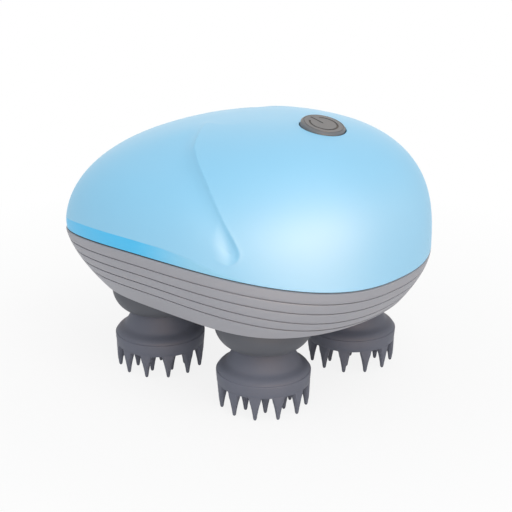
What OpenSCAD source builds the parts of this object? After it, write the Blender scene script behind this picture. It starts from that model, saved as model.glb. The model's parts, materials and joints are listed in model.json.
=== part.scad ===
// Electric scalp massager: an egg-shaped hand body on four turning heads with soft teeth.
// Millimetres, +Z up. The origin is under the middle of the body, level with the tooth tips.
// The pointed nose looks along -X, and the blunt tail carries the power button.

/* [Body] */
// Length of the body at the parting line
body_l = 112; // [108:1:118]
// Width of the body at the parting line
body_w = 91; // [88:1:98]
// Height of the crown above the tooth tips
body_h = 77.5; // [76:0.5:84]
// Height of the parting line at its highest
parting_z = 45; // [44:0.5:47]
// Drop of the parting line over half a body length
parting_dip = 7; // [4:0.5:8]
// Distance of the crown behind the middle of the body
crown_x = 21.6; // [16:0.5:24]
// Wall of the top shell
shell_wall = 2; // [1.6:0.1:2.6]
// Wall and floor of the lower casing
casing_wall = 2; // [1.6:0.1:2.4]
// Height of the casing's underside
rim_z = 26; // [25:0.5:27]
// Length of the casing's underside
rim_l = 89.4; // [88:0.2:94]
// Width of the casing's underside
rim_w = 73.4; // [72.4:0.2:78]
// Distance of the underside's middle behind the body's middle
rim_x = 4; // [2:0.5:5]
// Number of bands around the casing
band_count = 5; // [3:1:7]
// Depth of the groove under each band
groove_depth = 0.5; // [0.2:0.1:0.8]
// Width of the groove under each band
groove_w = 0.8; // [0.5:0.1:1.2]
// Thickness of the gasket in the parting line
gasket_t = 0.6; // [0.5:0.1:1.2]
// Distance of the gasket inside the outer wall
gasket_inset = 0.5; // [0.3:0.1:0.7]

/* [Heads] */
// Distance of the heads' middle behind the body's middle
heads_x = 4.8; // [3:0.2:6]
// Radius of a soft pad
pad_r = 13.4; // [12:0.1:13.8]
// Length of a tooth
tooth_l = 7; // [6:0.5:8]
// Radius of a tooth at its tip
tooth_tip_r = 0.5; // [0.4:0.05:0.7]
// Radius of a tooth at its root
tooth_root_r = 2.1; // [1.8:0.1:2.3]
// Number of teeth around the edge of a pad
edge_teeth = 12; // [8:1:14]
// Number of teeth in the inner ring of a pad
inner_teeth = 8; // [5:1:8]
// Height of the band around a pad
pad_band = 3.7; // [3.2:0.1:4.2]
// Width of a pad's rounded shoulder
shoulder_w = 2.4; // [1.8:0.1:3]
// Height of a pad's rounded shoulder
shoulder_h = 1.7; // [1.2:0.1:2.2]
// Radius of a pad's neck under its collar
neck_r = 7.9; // [7.2:0.1:8.6]
// Radius of the hub disc inside a pad
hub_r = 8.2; // [7:0.1:8.6]
// Thickness of the hub disc
hub_t = 1; // [0.8:0.1:1.2]
// Radius of the hub's stem
stem_r = 4.2; // [3.8:0.1:4.6]
// Gap between a turning pad and its fixed collar
pad_gap = 0.5; // [0.4:0.1:0.8]
// Radius of a collar where it leaves the casing
collar_r = 14; // [13.6:0.1:14.2]
// Height that a collar hangs below the casing
collar_drop = 7.8; // [7.4:0.1:8.2]
// Half-axis of a collar's bowl across
bowl_w = 6; // [5:0.1:7]
// Half-axis of a collar's bowl downwards
bowl_h = 7.2; // [7:0.1:9]
// Wall of a collar
collar_wall = 1.8; // [1.5:0.1:2.2]
// Turn of each pad's first tooth on its hub
pad_turn = [25, 0, 28, 12];

/* [Gears] */
// Module of the drive gear's lower ring and the head gears
head_module = 1; // [0.9:0.05:1.02]
// Teeth of the drive gear's lower ring
drive_teeth = 34; // [30:1:36]
// Teeth of a head gear
head_teeth = 24; // [22:1:26]
// Module of the drive gear's upper ring and the idler pinion
mid_module = 0.8; // [0.7:0.05:0.82]
// Teeth of the drive gear's upper ring
mid_teeth = 48; // [44:1:50]
// Teeth of the idler pinion
idler_pinion_teeth = 12; // [12:1:14]
// Module of the idler wheel and the motor pinion
fast_module = 0.6; // [0.5:0.05:0.62]
// Teeth of the idler wheel
idler_teeth = 40; // [36:1:42]
// Teeth of the motor pinion
pinion_teeth = 10; // [10:1:12]
// Pressure angle
pressure_angle = 25; // [25:0.5:27]
// Play between meshing teeth at the pitch circle
backlash = 0.14; // [0.08:0.01:0.2]
// Thickness of the head gears
head_gear_t = 4; // [3:0.5:4.5]
// Thickness of the drive gear's upper ring
mid_gear_t = 3; // [2.5:0.5:3.5]
// Thickness of the idler wheel
fast_gear_t = 2.5; // [2:0.5:3]
// Gap between the layers of the gear train
layer_gap = 1; // [0.8:0.1:1.2]
// Running clearance of a shaft in its bore
running = 0.05; // [0.03:0.01:0.1]
// Radius of an output shaft
shaft_r = 2.5; // [2.3:0.1:2.7]
// Radius over the corners of an output shaft's hexagon
hex_r = 3.1; // [3:0.05:3.3]
// Radius of the drive gear's axle
drive_axle_r = 1.5; // [1.2:0.1:2]
// Radius of the idler's axle
idler_axle_r = 1.25; // [1:0.05:1.5]
// Radius of the motor shaft
motor_shaft_r = 1; // [0.8:0.05:1.1]

/* [Gearbox] */
// Thickness of the gearbox base
base_t = 2.5; // [2:0.1:3]
// Thickness of the gearbox cover
cover_t = 2; // [1.6:0.1:3]
// Radius of a gearbox post
post_r = 3.2; // [2.8:0.1:3.3]
// Radius of an output shaft's bush
bush_r = 4; // [3.8:0.1:4.4]
// Length of an output shaft's bush below its flange
bush_l = 4.5; // [3.5:0.5:5]
// Thickness of a bush flange
bush_flange_t = 1; // [0.8:0.1:1.2]
// Radius of a lip seal
seal_r = 4.7; // [4.5:0.1:5.2]
// Thickness of a lip seal
seal_t = 2.4; // [2:0.1:2.6]

/* [Motor and battery] */
// Radius of the motor can
motor_r = 12.1; // [11:0.1:12.3]
// Height of the motor can
motor_h = 16; // [14:0.5:18]
// Wall of the motor can
motor_wall = 1; // [0.8:0.1:1.2]
// Radius of the armature
armature_r = 6; // [5:0.1:6.5]
// Thickness of the magnets
magnet_t = 3.4; // [2.6:0.1:3.6]
// Radius of the battery cell
cell_r = 7.1; // [6.5:0.1:7.3]
// Length of the battery cell
cell_l = 50; // [44:1:52]
// Wall of the battery tray
tray_wall = 1.2; // [1:0.1:1.4]

/* [Button and board] */
// Distance of the button in front of the tail
button_in = 27.4; // [25:0.2:30]
// Tilt of the button towards the tail
button_tilt = 13.8; // [8:0.2:16]
// Height that the button stands above the shell
button_proud = 0.7; // [0:0.1:1]
// Radius of the button
button_r = 6.3; // [5.5:0.1:6.8]
// Gap around the button
button_gap = 0.3; // [0.2:0.05:0.4]
// Travel of the button
button_travel = 0.6; // [0.3:0.05:0.8]
// Radius of the ring of the power symbol
icon_r = 3.6; // [3:0.1:4]
// Width of the lines of the power symbol
icon_w = 0.6; // [0.4:0.05:0.8]
// Depth of the lines of the power symbol
icon_depth = 0.3; // [0.2:0.05:0.5]
// Length of the control board
board_l = 32; // [28:1:34]
// Width of the control board
board_w = 24; // [20:1:26]
// Thickness of the control board
board_t = 1.2; // [1:0.1:1.6]
// Depth of the control board below the shell at the button
board_depth = 12.5; // [12:0.25:14]
// Radius of the hole for the charging pin
socket_r = 1.3; // [1.2:0.05:1.8]
// Depth of the hole for the charging pin
socket_l = 8; // [7:0.5:9]
// Radius of the charging socket's barrel
barrel_r = 3; // [2.8:0.1:3.4]
// Height of the charging socket
socket_z = 42.5; // [42:0.5:45]

/* [Screws] */
// Radius of a case screw's shank
case_screw_r = 1.1; // [0.9:0.05:1.2]
// Radius of a case screw's head
case_head_r = 2; // [1.8:0.1:2.1]
// Length of a case screw's shank
case_screw_l = 14; // [12:0.5:16]
// Radius of a small screw's shank
small_screw_r = 0.9; // [0.8:0.05:1]
// Radius of a small screw's head
small_head_r = 1.7; // [1.5:0.1:1.8]
// Clearance around fixed pieces
fit = 0.05; // [0.03:0.01:0.1]

/* [Hidden] */
$fn = 64;
around = 72;          // points around the body
top_rows = 16;        // rows of the top shell's outside
inner_rows = 9;       // rows of the walls' insides
tiny = 0.01;

// ---- derived sizes ----
nose_x = -body_l / 2;
tail_x = body_l / 2;
part_half = body_w / 2;
deck_z = rim_z + casing_wall;
drive_r = head_module * drive_teeth / 2;
head_gear_r = head_module * head_teeth / 2;
head_reach = drive_r + head_gear_r;
pitch = head_reach * sqrt(2);
head_angles = [225, 315, 45, 135];
idler_reach = mid_module * (mid_teeth + idler_pinion_teeth) / 2;
pinion_reach = fast_module * (idler_teeth + pinion_teeth) / 2;
drive_pos = [heads_x, 0];
idler_pos = [heads_x - idler_reach, 0];
motor_pos = [heads_x - idler_reach + pinion_reach, 0];
base_top = deck_z + base_t;
head_z = base_top + layer_gap;
mid_z = head_z + head_gear_t + layer_gap;
fast_z = mid_z + mid_gear_t + layer_gap;
cover_z = fast_z + fast_gear_t + layer_gap;
cover_top = cover_z + cover_t;
addendum = 0.9;
dedendum = 1.15;

// heads
pad_top = tooth_l + pad_band;
bowl_start = 1;
bowl_top = rim_z - bowl_start;
collar_z = rim_z - collar_drop;
collar_lip = 0.5;
collar_lip_t = 1;
neck_top = collar_z - pad_gap;
hub_z = tooth_l + 0.6;
hub_top = hub_z + hub_t;
stem_hex_r = shaft_r;
seal_z = collar_z + 0.3;
bush_z = seal_z + seal_t + 0.2;
boss_r = seal_r + 1.3;
shaft_top = cover_top - 0.2;
edge_ring_r = pad_r - 1.1;
tooth_back = 0.06;
pad_floor = 0.1;
pad_sink = 0.2;
pad_bevel = 0.4;
inner_ring_r = 7.6;
head_boss_r = 4.4;

// gearbox
base_margin = 2;
base_reach = collar_r - base_margin;
cover_reach = 5.5;
drive_boss_r = 4;
idler_boss_r = 2.6;
screw_bite = 1.2;
motor_boss_r = 3;
motor_floor = 1.2;
motor_screw_y = 8;
end_cap_t = 2;
armature_l = 8;
armature_gap = 2;
armature_z = cover_top + motor_floor + armature_gap;

// screws and posts: the posts join the gearbox plates, the pillars join the two shells
post_spots = [[-34.6, 5.8], [-34.6, -5.8], [37, 7.5], [37, -7.5]];
tail_pillar_in = 13.5;
pillar_spots = [[-33, 14], [-33, -14], [tail_x - tail_pillar_in, 0], [heads_x, 33.5], [heads_x, -33.5]];
pillar_r = 3.2;
screw_seat_h = 6;
pillar_head_z = deck_z + screw_seat_h;
pillar_over = 6;
post_top_z = pillar_head_z + case_screw_l + pillar_over;
web_t = 2;
web_z = parting_z + 2.2;
case_head_t = 1.4;
small_head_t = 1.2;

// button and board, in a frame tilted with the button
button_x = tail_x - button_in;
button_z = top_z(button_x);
lip_t = 3.8;
flange_r = button_r + 1.2;
flange_t = 1;
flange_z = -lip_t - 0.1;
guide_wall = 1.6;
button_stem_r = 2;
switch_w = 6;
switch_h = 3.4;
plunger_r = 1.7;
plunger_in = 1.2;
plunger_out = 0.7;
switch_top = -board_depth + switch_h;
icon_gap = 70;

// charging socket, in the nose
socket_x = nose_x + 1.9;
socket_seat_x = nose_x + 4.5;
socket_flange_r = barrel_r + 1.2;
socket_flange_t = 1.2;
socket_back = 1.5;

// battery, on the cover beside the motor
cell_y = motor_r + 0.5 + tray_wall + fit + cell_r;
cell_z = cover_top + tray_wall + fit + cell_r;
board_spots = [for (x = [-1, 1], y = [-1, 1]) [x * (board_l / 2 - 2.5), y * (board_w / 2 - 2.5)]];
board_boss_r = 2.2;
board_bite = 4;
board_screw_l = board_t + board_bite;
board_hole_z = board_bite + 1 - board_depth;
well_depth = 20;
well_rise = 10;

// ---- body shape ----
// Height of the parting line at x
function parting(x) = parting_z - parting_dip * pow((x - heads_x) / (body_l / 2), 2);

// Height where the pillars of both shells meet
function pillar_top(p) = parting(p[0]) - gasket_t / 2;

// Point at angle a of an egg-shaped ring from x0 to x1 with half width w and roundness n, m
function ring_point(x0, x1, w, n, m, a) =
    let (u = cos(a), y = w * pow(max(0, 1 - pow(abs(u), n)), 1 / m))
    [(x0 + x1) / 2 + (x1 - x0) / 2 * u, sin(a) < 0 ? -y : y];

// Ring of the top at share s of its height, inset by d, its foot lifted above the parting line
function top_ring(s, d, lift) =
    let (nose = pow(max(0, 1 - pow(s, 2)), 1 / 2.2),
        tail = pow(max(0, 1 - pow(s, 3.2)), 1 / 1.9),
        side = pow(max(0, 1 - pow(s, 2.2)), 1 / 2.25),
        x0 = crown_x - (crown_x - nose_x - d) * nose,
        x1 = crown_x + (tail_x - d - crown_x) * tail)
    [for (i = [0 : around - 1])
        let (a = 360 * i / around,
            p = ring_point(x0, x1, (part_half - d) * side, 2.2, 2.4, a),
            foot = ring_point(nose_x + d, tail_x - d, part_half - d, 2.2, 2.4, a))
        [p[0], p[1], (parting(foot[0]) + lift) * (1 - s) + (body_h - d) * s]];

// Ring of the lower casing at share s of the way down to height z1, inset by d
function casing_ring(s, d, z1) =
    let (g = 1 - pow(s, 1.4),
        r0 = rim_x - rim_l / 2 + d,
        r1 = rim_x + rim_l / 2 - d,
        x0 = r0 + (nose_x + d - r0) * g,
        x1 = r1 + (tail_x - d - r1) * g,
        w = rim_w / 2 - d + (part_half - rim_w / 2) * g,
        n = 3.9 + (2.2 - 3.9) * g,
        m = 2 + (2.4 - 2) * g)
    [for (i = [0 : around - 1])
        let (a = 360 * i / around,
            p = ring_point(x0, x1, w, n, m, a),
            foot = ring_point(nose_x + d, tail_x - d, part_half - d, 2.2, 2.4, a))
        [p[0], p[1], (parting(foot[0]) - gasket_t / 2) * (1 - s) + z1 * s]];

// Height of the top along the middle line at x, behind the crown
function top_z(x) =
    let (s = pow(1 - pow((x - crown_x) / (tail_x - crown_x), 1.9), 1 / 3.2))
    parting(tail_x) * (1 - s) + body_h * s;

// Solid through rings of equally many points, closed by its end rings or into a loop
module loft(rings, loop = false) {
    n = len(rings[0]);
    k = len(rings);
    sides = [for (i = [0 : loop ? k - 1 : k - 2], j = [0 : n - 1])
        let (a = i * n + j,
            b = i * n + (j + 1) % n,
            c = ((i + 1) % k) * n + j,
            d = ((i + 1) % k) * n + (j + 1) % n)
        each [[a, c, b], [b, c, d]]];
    caps = [[for (j = [0 : n - 1]) j], [for (j = [n - 1 : -1 : 0]) (k - 1) * n + j]];
    polyhedron(points = [for (r = rings) each r], faces = loop ? sides : concat(sides, caps));
}

// The ring laid flat at height z
function flat_ring(ring, z) = [for (p = ring) [p[0], p[1], z]];

// ---- gears ----
function involute(a) = tan(a) * 180 / PI - a;

// Half the angle of a tooth at radius r, on a gear of z teeth
function half_tooth(mod, z, r) =
    let (pitch_r = mod * z / 2,
        base_r = pitch_r * cos(pressure_angle),
        here = r <= base_r ? 0 : acos(base_r / r))
    (PI * mod / 2 - backlash / 2) / 2 / pitch_r * 180 / PI + involute(pressure_angle) - involute(here);

// Outline of a spur gear with tooth 0 along +X
module gear_outline(mod, z) {
    pitch_r = mod * z / 2;
    root = pitch_r - dedendum * mod;
    tip = pitch_r + addendum * mod;
    base_r = pitch_r * cos(pressure_angle);
    start = max(root, base_r);
    curve = [for (i = [0 : 3]) start + (tip - start) * i / 3];
    flank = base_r > root + tiny ? concat([root], curve) : curve;
    last = len(flank) - 1;
    polygon([for (k = [0 : z - 1], p = concat(
            [for (i = [0 : last]) [flank[i], -half_tooth(mod, z, flank[i])]],
            [for (i = [last : -1 : 0]) [flank[i], half_tooth(mod, z, flank[i])]]))
        let (a = 360 * k / z + p[1]) [p[0] * cos(a), p[0] * sin(a)]]);
}

module gear(mod, z, t, turn) {
    rotate(turn) linear_extrude(t) gear_outline(mod, z);
}

// Turn of a gear of z teeth that meshes, in direction a, with a gear of z0 teeth turned by turn0
function mesh_turn(a, z0, turn0, z) = a + 180 - 180 / z + (a - turn0) * z0 / z;

idler_turn = mesh_turn(180, mid_teeth, 0, idler_pinion_teeth);
pinion_turn = mesh_turn(0, idler_teeth, idler_turn, pinion_teeth);

// ---- small helpers ----
module at_head(i) {
    translate([heads_x + head_reach * cos(head_angles[i]), head_reach * sin(head_angles[i]), 0]) children();
}

module at_button() {
    translate([button_x, 0, button_z]) rotate([0, button_tilt, 0]) children();
}

module rod(r, z0, z1) {
    translate([0, 0, z0]) cylinder(r = r, h = z1 - z0);
}

module hex_rod(r, z0, z1) {
    translate([0, 0, z0]) cylinder(r = r, h = z1 - z0, $fn = 6);
}

module bar(p, q, w) {
    d = q - p;
    translate(p) rotate(atan2(d[1], d[0])) translate([0, -w / 2]) square([norm(d), w]);
}

// Turns Z along the body's length, so that heights are read as x
module along_nose() {
    translate([0, 0, socket_z]) rotate([0, 90, 0]) children();
}

// Screw pointing up, with its head below the origin
module screw(r, head_r, head_t, l) {
    difference() {
        union() {
            rod(r, -tiny, l);
            rod(head_r, -head_t, 0);
        }
        hex_rod(head_r * 0.5, -head_t - 1, -head_t * 0.5);
    }
}

// ---- shells ----
module top_shell() {
    outer = [for (i = [0 : top_rows]) top_ring(sin(89.3 * i / top_rows), 0, gasket_t / 2)];
    inner = [for (i = [inner_rows : -1 : 0]) top_ring(sin(89.3 * i / inner_rows), shell_wall, gasket_t / 2)];
    middle = [for (i = [0 : top_rows]) top_ring(sin(89.3 * i / top_rows), shell_wall / 2, gasket_t / 2)];
    color("lightskyblue") difference() {
        union() {
            loft(concat(inner, outer));
            intersection() {
                loft(concat([flat_ring(middle[0], rim_z)], middle));
                union() {
                    for (p = pillar_spots) translate(p) {
                        rod(pillar_r, pillar_top(p), post_top_z);
                        rotate(atan2(p[1], p[0] - heads_x))
                            translate([0, -web_t / 2, web_z]) cube([body_w, web_t, post_top_z - web_z]);
                    }
                    at_button() {
                        rod(flange_r + button_gap + guide_wall, flange_z - 3, 2);
                        for (p = board_spots) translate(p) rod(board_boss_r, -board_depth, 2);
                    }
                    along_nose() rod(socket_flange_r, nose_x - 1, socket_seat_x);
                }
            }
        }
        for (p = pillar_spots)
            translate(p) rod(case_screw_r + fit, 0, pillar_head_z + case_screw_l + 1);
        at_button() {
            rod(button_r + button_gap, -well_depth, well_rise);
            rod(flange_r + button_gap, -well_depth, -lip_t);
            for (p = board_spots)
                translate(p) rod(small_screw_r + fit, -board_depth - 1, board_hole_z);
        }
        along_nose() rod(barrel_r + fit, nose_x - 2, socket_seat_x + 1);
    }
}

module lower_casing() {
    lip = groove_w / 2 / (parting_z - rim_z);
    grooves = [for (k = [band_count - 1 : -1 : 1]) k / band_count];
    levels = concat([[1, 0]],
        [for (s = grooves) each [[s + lip, 0], [s, groove_depth], [s - lip, 0]]],
        [[0, 0]]);
    outer = [for (l = levels) casing_ring(l[0], l[1], rim_z)];
    inner = [for (i = [0 : inner_rows]) casing_ring(i / inner_rows, casing_wall, deck_z)];
    color("darkgray") difference() {
        union() {
            loft(concat(outer, inner));
            for (p = pillar_spots)
                translate(p) rod(pillar_r, deck_z - tiny, pillar_top(p));
        }
        for (i = [0 : 3]) at_head(i) {
            rod(collar_r + fit, rim_z - 1, deck_z + 1);
            rod(collar_r + collar_lip + fit, deck_z - collar_lip_t, deck_z + 1);
        }
        for (p = pillar_spots) translate(p) {
            rod(case_screw_r + fit, rim_z - 1, parting_z);
            rod(case_head_r + 0.2, rim_z - 1, pillar_head_z);
        }
        for (p = post_spots) translate(p) rod(small_screw_r, deck_z - screw_bite, deck_z + 1);
    }
}

module parting_gasket() {
    half = gasket_t / 2 - fit / 2;
    color("dimgray") loft([top_ring(0, gasket_inset, -half), top_ring(0, gasket_inset, half),
        top_ring(0, shell_wall, half), top_ring(0, shell_wall, -half)], loop = true);
}

// ---- gearbox ----
// Plate over the heads and the posts, cut away round the pillars
module plate(reach, t) {
    half = pitch / 2;
    linear_extrude(t) difference() {
        union() {
            translate(drive_pos) {
                square([pitch, pitch + 2 * reach], center = true);
                square([pitch + 2 * reach, pitch], center = true);
                for (x = [-half, half], y = [-half, half]) translate([x, y]) circle(reach);
            }
            for (side = [0, 2]) bar([heads_x, 0], [post_spots[side][0], 0], 2 * post_spots[side][1]);
            for (p = post_spots) {
                bar([heads_x, p[1]], p, 2 * post_r);
                translate(p) circle(post_r);
            }
        }
        for (p = pillar_spots) translate(p) circle(pillar_r + 0.4);
    }
}

module gearbox_base() {
    color("gainsboro") difference() {
        translate([0, 0, deck_z]) plate(base_reach, base_t);
        for (i = [0 : 3]) at_head(i) rod(hex_r + 0.4, deck_z - 1, base_top + 1);
        translate(drive_pos) rod(drive_axle_r, deck_z - 1, base_top + 1);
        translate(idler_pos) rod(idler_axle_r, deck_z - 1, base_top + 1);
        for (p = post_spots) translate(p) rod(small_screw_r, deck_z - 1, base_top + 1);
    }
}

module gearbox_cover() {
    color("gainsboro") difference() {
        union() {
            translate([0, 0, cover_z]) plate(cover_reach, cover_t);
            for (p = post_spots) translate(p) rod(post_r, base_top, cover_z + tiny);
        }
        for (i = [0 : 3]) at_head(i) rod(shaft_r + running, cover_z - 1, cover_top + 1);
        translate(drive_pos) rod(drive_axle_r, cover_z - 1, cover_top + 1);
        translate(idler_pos) rod(idler_axle_r, cover_z - 1, cover_top + 1);
        translate(motor_pos) {
            rod(motor_boss_r + fit, cover_z - 1, cover_top + 1);
            for (y = [-motor_screw_y, motor_screw_y])
                translate([0, y]) rod(small_screw_r + fit, cover_z - 1, cover_top + 1);
        }
        for (p = post_spots) translate(p) rod(small_screw_r + fit, base_top - 1, cover_top + 1);
    }
}

// Radius of a collar's outside at height z
function collar_at(z) =
    collar_r - bowl_w * (1 - sqrt(max(0, 1 - pow(max(0, bowl_top - z) / bowl_h, 2))));

module collar(i) {
    floor_z = collar_z + collar_wall;
    lip_z = deck_z - collar_lip_t;
    steps = 8;
    outside = [for (k = [0 : steps]) let (z = collar_z + (bowl_top - collar_z) * k / steps)
        [collar_at(z), z]];
    inside = [for (k = [steps : -1 : 0]) let (z = floor_z + (bowl_top - floor_z) * k / steps)
        [collar_at(z) - collar_wall, z]];
    color("dimgray") at_head(i) difference() {
        rotate_extrude($fn = 96) polygon(concat(
            [[0, collar_z]], outside,
            [[collar_r, lip_z], [collar_r + collar_lip, lip_z], [collar_r + collar_lip, deck_z],
                [collar_r - collar_wall, deck_z]], inside,
            [[boss_r, floor_z], [boss_r, bush_z + bush_l], [0, bush_z + bush_l]]));
        rod(shaft_r + 0.3, collar_z - 1, deck_z);
        rod(seal_r, seal_z, bush_z + tiny);
        rod(bush_r, bush_z, deck_z);
    }
}

module lip_seal(i) {
    color("black") at_head(i) difference() {
        rod(seal_r - fit, seal_z, seal_z + seal_t);
        rod(shaft_r + running, seal_z - 1, seal_z + seal_t + 1);
        translate([0, 0, seal_z + seal_t / 2]) rotate_extrude()
            translate([shaft_r + 0.5, 0]) square([seal_r - shaft_r - 1.1, seal_t]);
    }
}

module bush(i) {
    color("darkgoldenrod") at_head(i) difference() {
        union() {
            rod(bush_r - fit, bush_z, bush_z + bush_l + tiny);
            rod(bush_r + 1, bush_z + bush_l, bush_z + bush_l + bush_flange_t);
        }
        rod(shaft_r + running, bush_z - 1, deck_z + 1);
    }
}

// ---- heads ----
module tooth() {
    rotate_extrude() polygon([
        [0, 0], [tooth_tip_r * 0.6, 0], [tooth_tip_r, tooth_tip_r * 0.6],
        [tooth_tip_r * 1.3, tooth_l * 0.2], [tooth_root_r * 0.45, tooth_l * 0.45],
        [tooth_root_r * 0.6, tooth_l * 0.65], [tooth_root_r * 0.79, tooth_l * 0.85],
        [tooth_root_r, tooth_l + pad_sink], [0, tooth_l + pad_sink]]);
}

// Section of a pad: its band, its rounded shoulder and the neck that narrows up to its collar
function pad_section() =
    let (under = tooth_l - pad_floor, brow_r = pad_r - shoulder_w, brow_z = pad_top + shoulder_h)
    concat(
        [[0, under], [pad_r - pad_bevel, under], [pad_r, under + pad_bevel]],
        [for (k = [0 : 5]) [brow_r + shoulder_w * cos(18 * k), pad_top + shoulder_h * sin(18 * k)]],
        [for (t = [0.2 : 0.2 : 1])
            [brow_r - (brow_r - neck_r) * pow(t, 0.9), brow_z + (neck_top - brow_z) * pow(t, 1.2)]],
        [[0, neck_top]]);

module head_pad(i) {
    color("dimgray") at_head(i) rotate(pad_turn[i]) difference() {
        union() {
            rotate_extrude() polygon(pad_section());
            intersection() {
                rod(pad_r - tooth_back, 0, tooth_l + 1);
                for (k = [0 : edge_teeth - 1])
                    rotate(360 * k / edge_teeth) translate([edge_ring_r, 0, 0]) tooth();
            }
            for (k = [0 : inner_teeth - 1])
                rotate(360 * k / inner_teeth) translate([inner_ring_r, 0, 0]) tooth();
            tooth();
        }
        rod(hub_r + fit, hub_z - fit, hub_top + fit);
        rod(stem_r + fit, hub_top, neck_top + 1);
    }
}

module head_hub(i) {
    color("silver") at_head(i) difference() {
        union() {
            rod(hub_r, hub_z, hub_top);
            rod(stem_r, hub_top - tiny, neck_top);
        }
        hex_rod(stem_hex_r + fit, hub_top, neck_top + 1);
    }
}

module output_shaft(i) {
    color("gray") at_head(i) {
        hex_rod(stem_hex_r, hub_top + fit, neck_top + tiny);
        rod(shaft_r, neck_top, shaft_top);
        hex_rod(hex_r, base_top - 1, head_z + head_gear_t);
    }
}

module head_gear(i) {
    turn = mesh_turn(head_angles[i], drive_teeth, 0, head_teeth);
    color("ivory") at_head(i) difference() {
        union() {
            translate([0, 0, head_z]) gear(head_module, head_teeth, head_gear_t, turn);
            rod(head_boss_r, head_z + head_gear_t - tiny, cover_z - layer_gap / 2);
        }
        hex_rod(hex_r + fit, head_z - 1, head_z + head_gear_t + fit);
        rod(shaft_r + fit, head_z, cover_z);
    }
}

// ---- drive train ----
module drive_gear() {
    color("ivory") translate(drive_pos) difference() {
        union() {
            translate([0, 0, head_z]) gear(head_module, drive_teeth, head_gear_t, 0);
            translate([0, 0, mid_z]) gear(mid_module, mid_teeth, mid_gear_t, 0);
            rod(drive_boss_r, base_top + 0.1, mid_z + tiny);
        }
        rod(drive_axle_r + running, base_top - 1, cover_z);
    }
}

module drive_axle() {
    color("silver") translate(drive_pos) rod(drive_axle_r, deck_z + 0.1, cover_top - 0.1);
}

module idler_gear() {
    color("ivory") translate(idler_pos) difference() {
        union() {
            translate([0, 0, mid_z])
                gear(mid_module, idler_pinion_teeth, mid_gear_t + layer_gap, idler_turn);
            translate([0, 0, fast_z]) gear(fast_module, idler_teeth, fast_gear_t, idler_turn);
            rod(idler_boss_r, base_top + 0.1, mid_z + tiny);
        }
        rod(idler_axle_r + running, base_top - 1, cover_z);
    }
}

module idler_axle() {
    color("silver") translate(idler_pos) rod(idler_axle_r, deck_z + 0.1, cover_top - 0.1);
}

// ---- motor ----
module motor_can() {
    color("silver") translate(motor_pos) difference() {
        union() {
            rod(motor_r, cover_top, cover_top + motor_h);
            rod(motor_boss_r, cover_z + 0.2, cover_top + tiny);
        }
        rod(motor_r - motor_wall, cover_top + motor_floor, cover_top + motor_h + 1);
        rod(motor_shaft_r + running, cover_z - 1, cover_top + motor_h);
        for (y = [-motor_screw_y, motor_screw_y])
            translate([0, y]) rod(small_screw_r, cover_top - 1, cover_top + motor_floor + 1);
    }
}

module motor_end_cap() {
    top = cover_top + motor_h;
    color("dimgray") translate(motor_pos) difference() {
        union() {
            rod(motor_r, top, top + end_cap_t);
            rod(motor_r - motor_wall - fit, top - end_cap_t, top + tiny);
        }
        rod(motor_shaft_r + running, top - end_cap_t - 1, top + end_cap_t / 2 + 0.2);
    }
}

module motor_magnets() {
    outside = motor_r - motor_wall - fit;
    color("darkslategray") translate([motor_pos[0], motor_pos[1], cover_top + motor_floor + 1])
        for (turn = [20, 200])
            rotate(turn) rotate_extrude(angle = 140)
                translate([outside - magnet_t, 0]) square([magnet_t, armature_l + armature_gap]);
}

module motor_armature() {
    color("peru") translate(motor_pos) difference() {
        rod(armature_r, armature_z, armature_z + armature_l);
        rod(motor_shaft_r, armature_z - 1, armature_z + armature_l + 1);
    }
}

module motor_shaft() {
    color("silver") translate(motor_pos)
        rod(motor_shaft_r, fast_z - 0.4, cover_top + motor_h + end_cap_t / 2);
}

module motor_pinion() {
    color("goldenrod") translate(motor_pos) difference() {
        translate([0, 0, fast_z - 0.3])
            gear(fast_module, pinion_teeth, fast_gear_t + 0.6, pinion_turn);
        rod(motor_shaft_r, fast_z - 1, cover_z);
    }
}

// ---- battery ----
module battery_cell() {
    color("seagreen") translate([heads_x - cell_l / 2, cell_y, cell_z])
        rotate([0, 90, 0]) cylinder(r = cell_r, h = cell_l);
}

module battery_tray() {
    l = cell_l + 2 * tray_wall + 2 * fit;
    w = 2 * (cell_r + fit + tray_wall);
    color("gainsboro") difference() {
        translate([heads_x - l / 2, cell_y - w / 2, cover_top]) cube([l, w, cell_z - cover_top - 1]);
        translate([heads_x - cell_l / 2 - fit, cell_y, cell_z])
            rotate([0, 90, 0]) cylinder(r = cell_r + fit, h = cell_l + 2 * fit);
    }
}

// ---- board, switch and button ----
module control_board() {
    color("darkgreen") at_button() difference() {
        translate([-board_l / 2, -board_w / 2, -board_depth - board_t]) cube([board_l, board_w, board_t]);
        for (p = board_spots)
            translate(p) rod(small_screw_r + fit, -board_depth - board_t - 1, -board_depth + 1);
    }
}

module tact_switch() {
    color("black") at_button() difference() {
        translate([-switch_w / 2, -switch_w / 2, -board_depth]) cube([switch_w, switch_w, switch_h]);
        rod(plunger_r + running, switch_top - plunger_in - button_travel - 0.2, 0);
    }
}

module switch_plunger() {
    color("gray") at_button() rod(plunger_r, switch_top - plunger_in, switch_top + plunger_out);
}

module power_button() {
    top = button_proud;
    color("gray") at_button() difference() {
        union() {
            rotate_extrude() polygon([[0, flange_z - tiny], [button_r, flange_z - tiny],
                [button_r, top - 0.5], [button_r - 0.15, top - 0.15], [button_r - 0.5, top], [0, top]]);
            rod(flange_r, flange_z - flange_t, flange_z);
            rod(button_stem_r, switch_top + plunger_out, flange_z);
        }
        translate([0, 0, top - icon_depth]) rotate(180) {
            rotate(icon_gap / 2) rotate_extrude(angle = 360 - icon_gap)
                translate([icon_r - icon_w / 2, 0]) square([icon_w, 1]);
            translate([icon_w, -icon_w / 2, 0]) cube([icon_r, icon_w, 1]);
        }
    }
}

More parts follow.
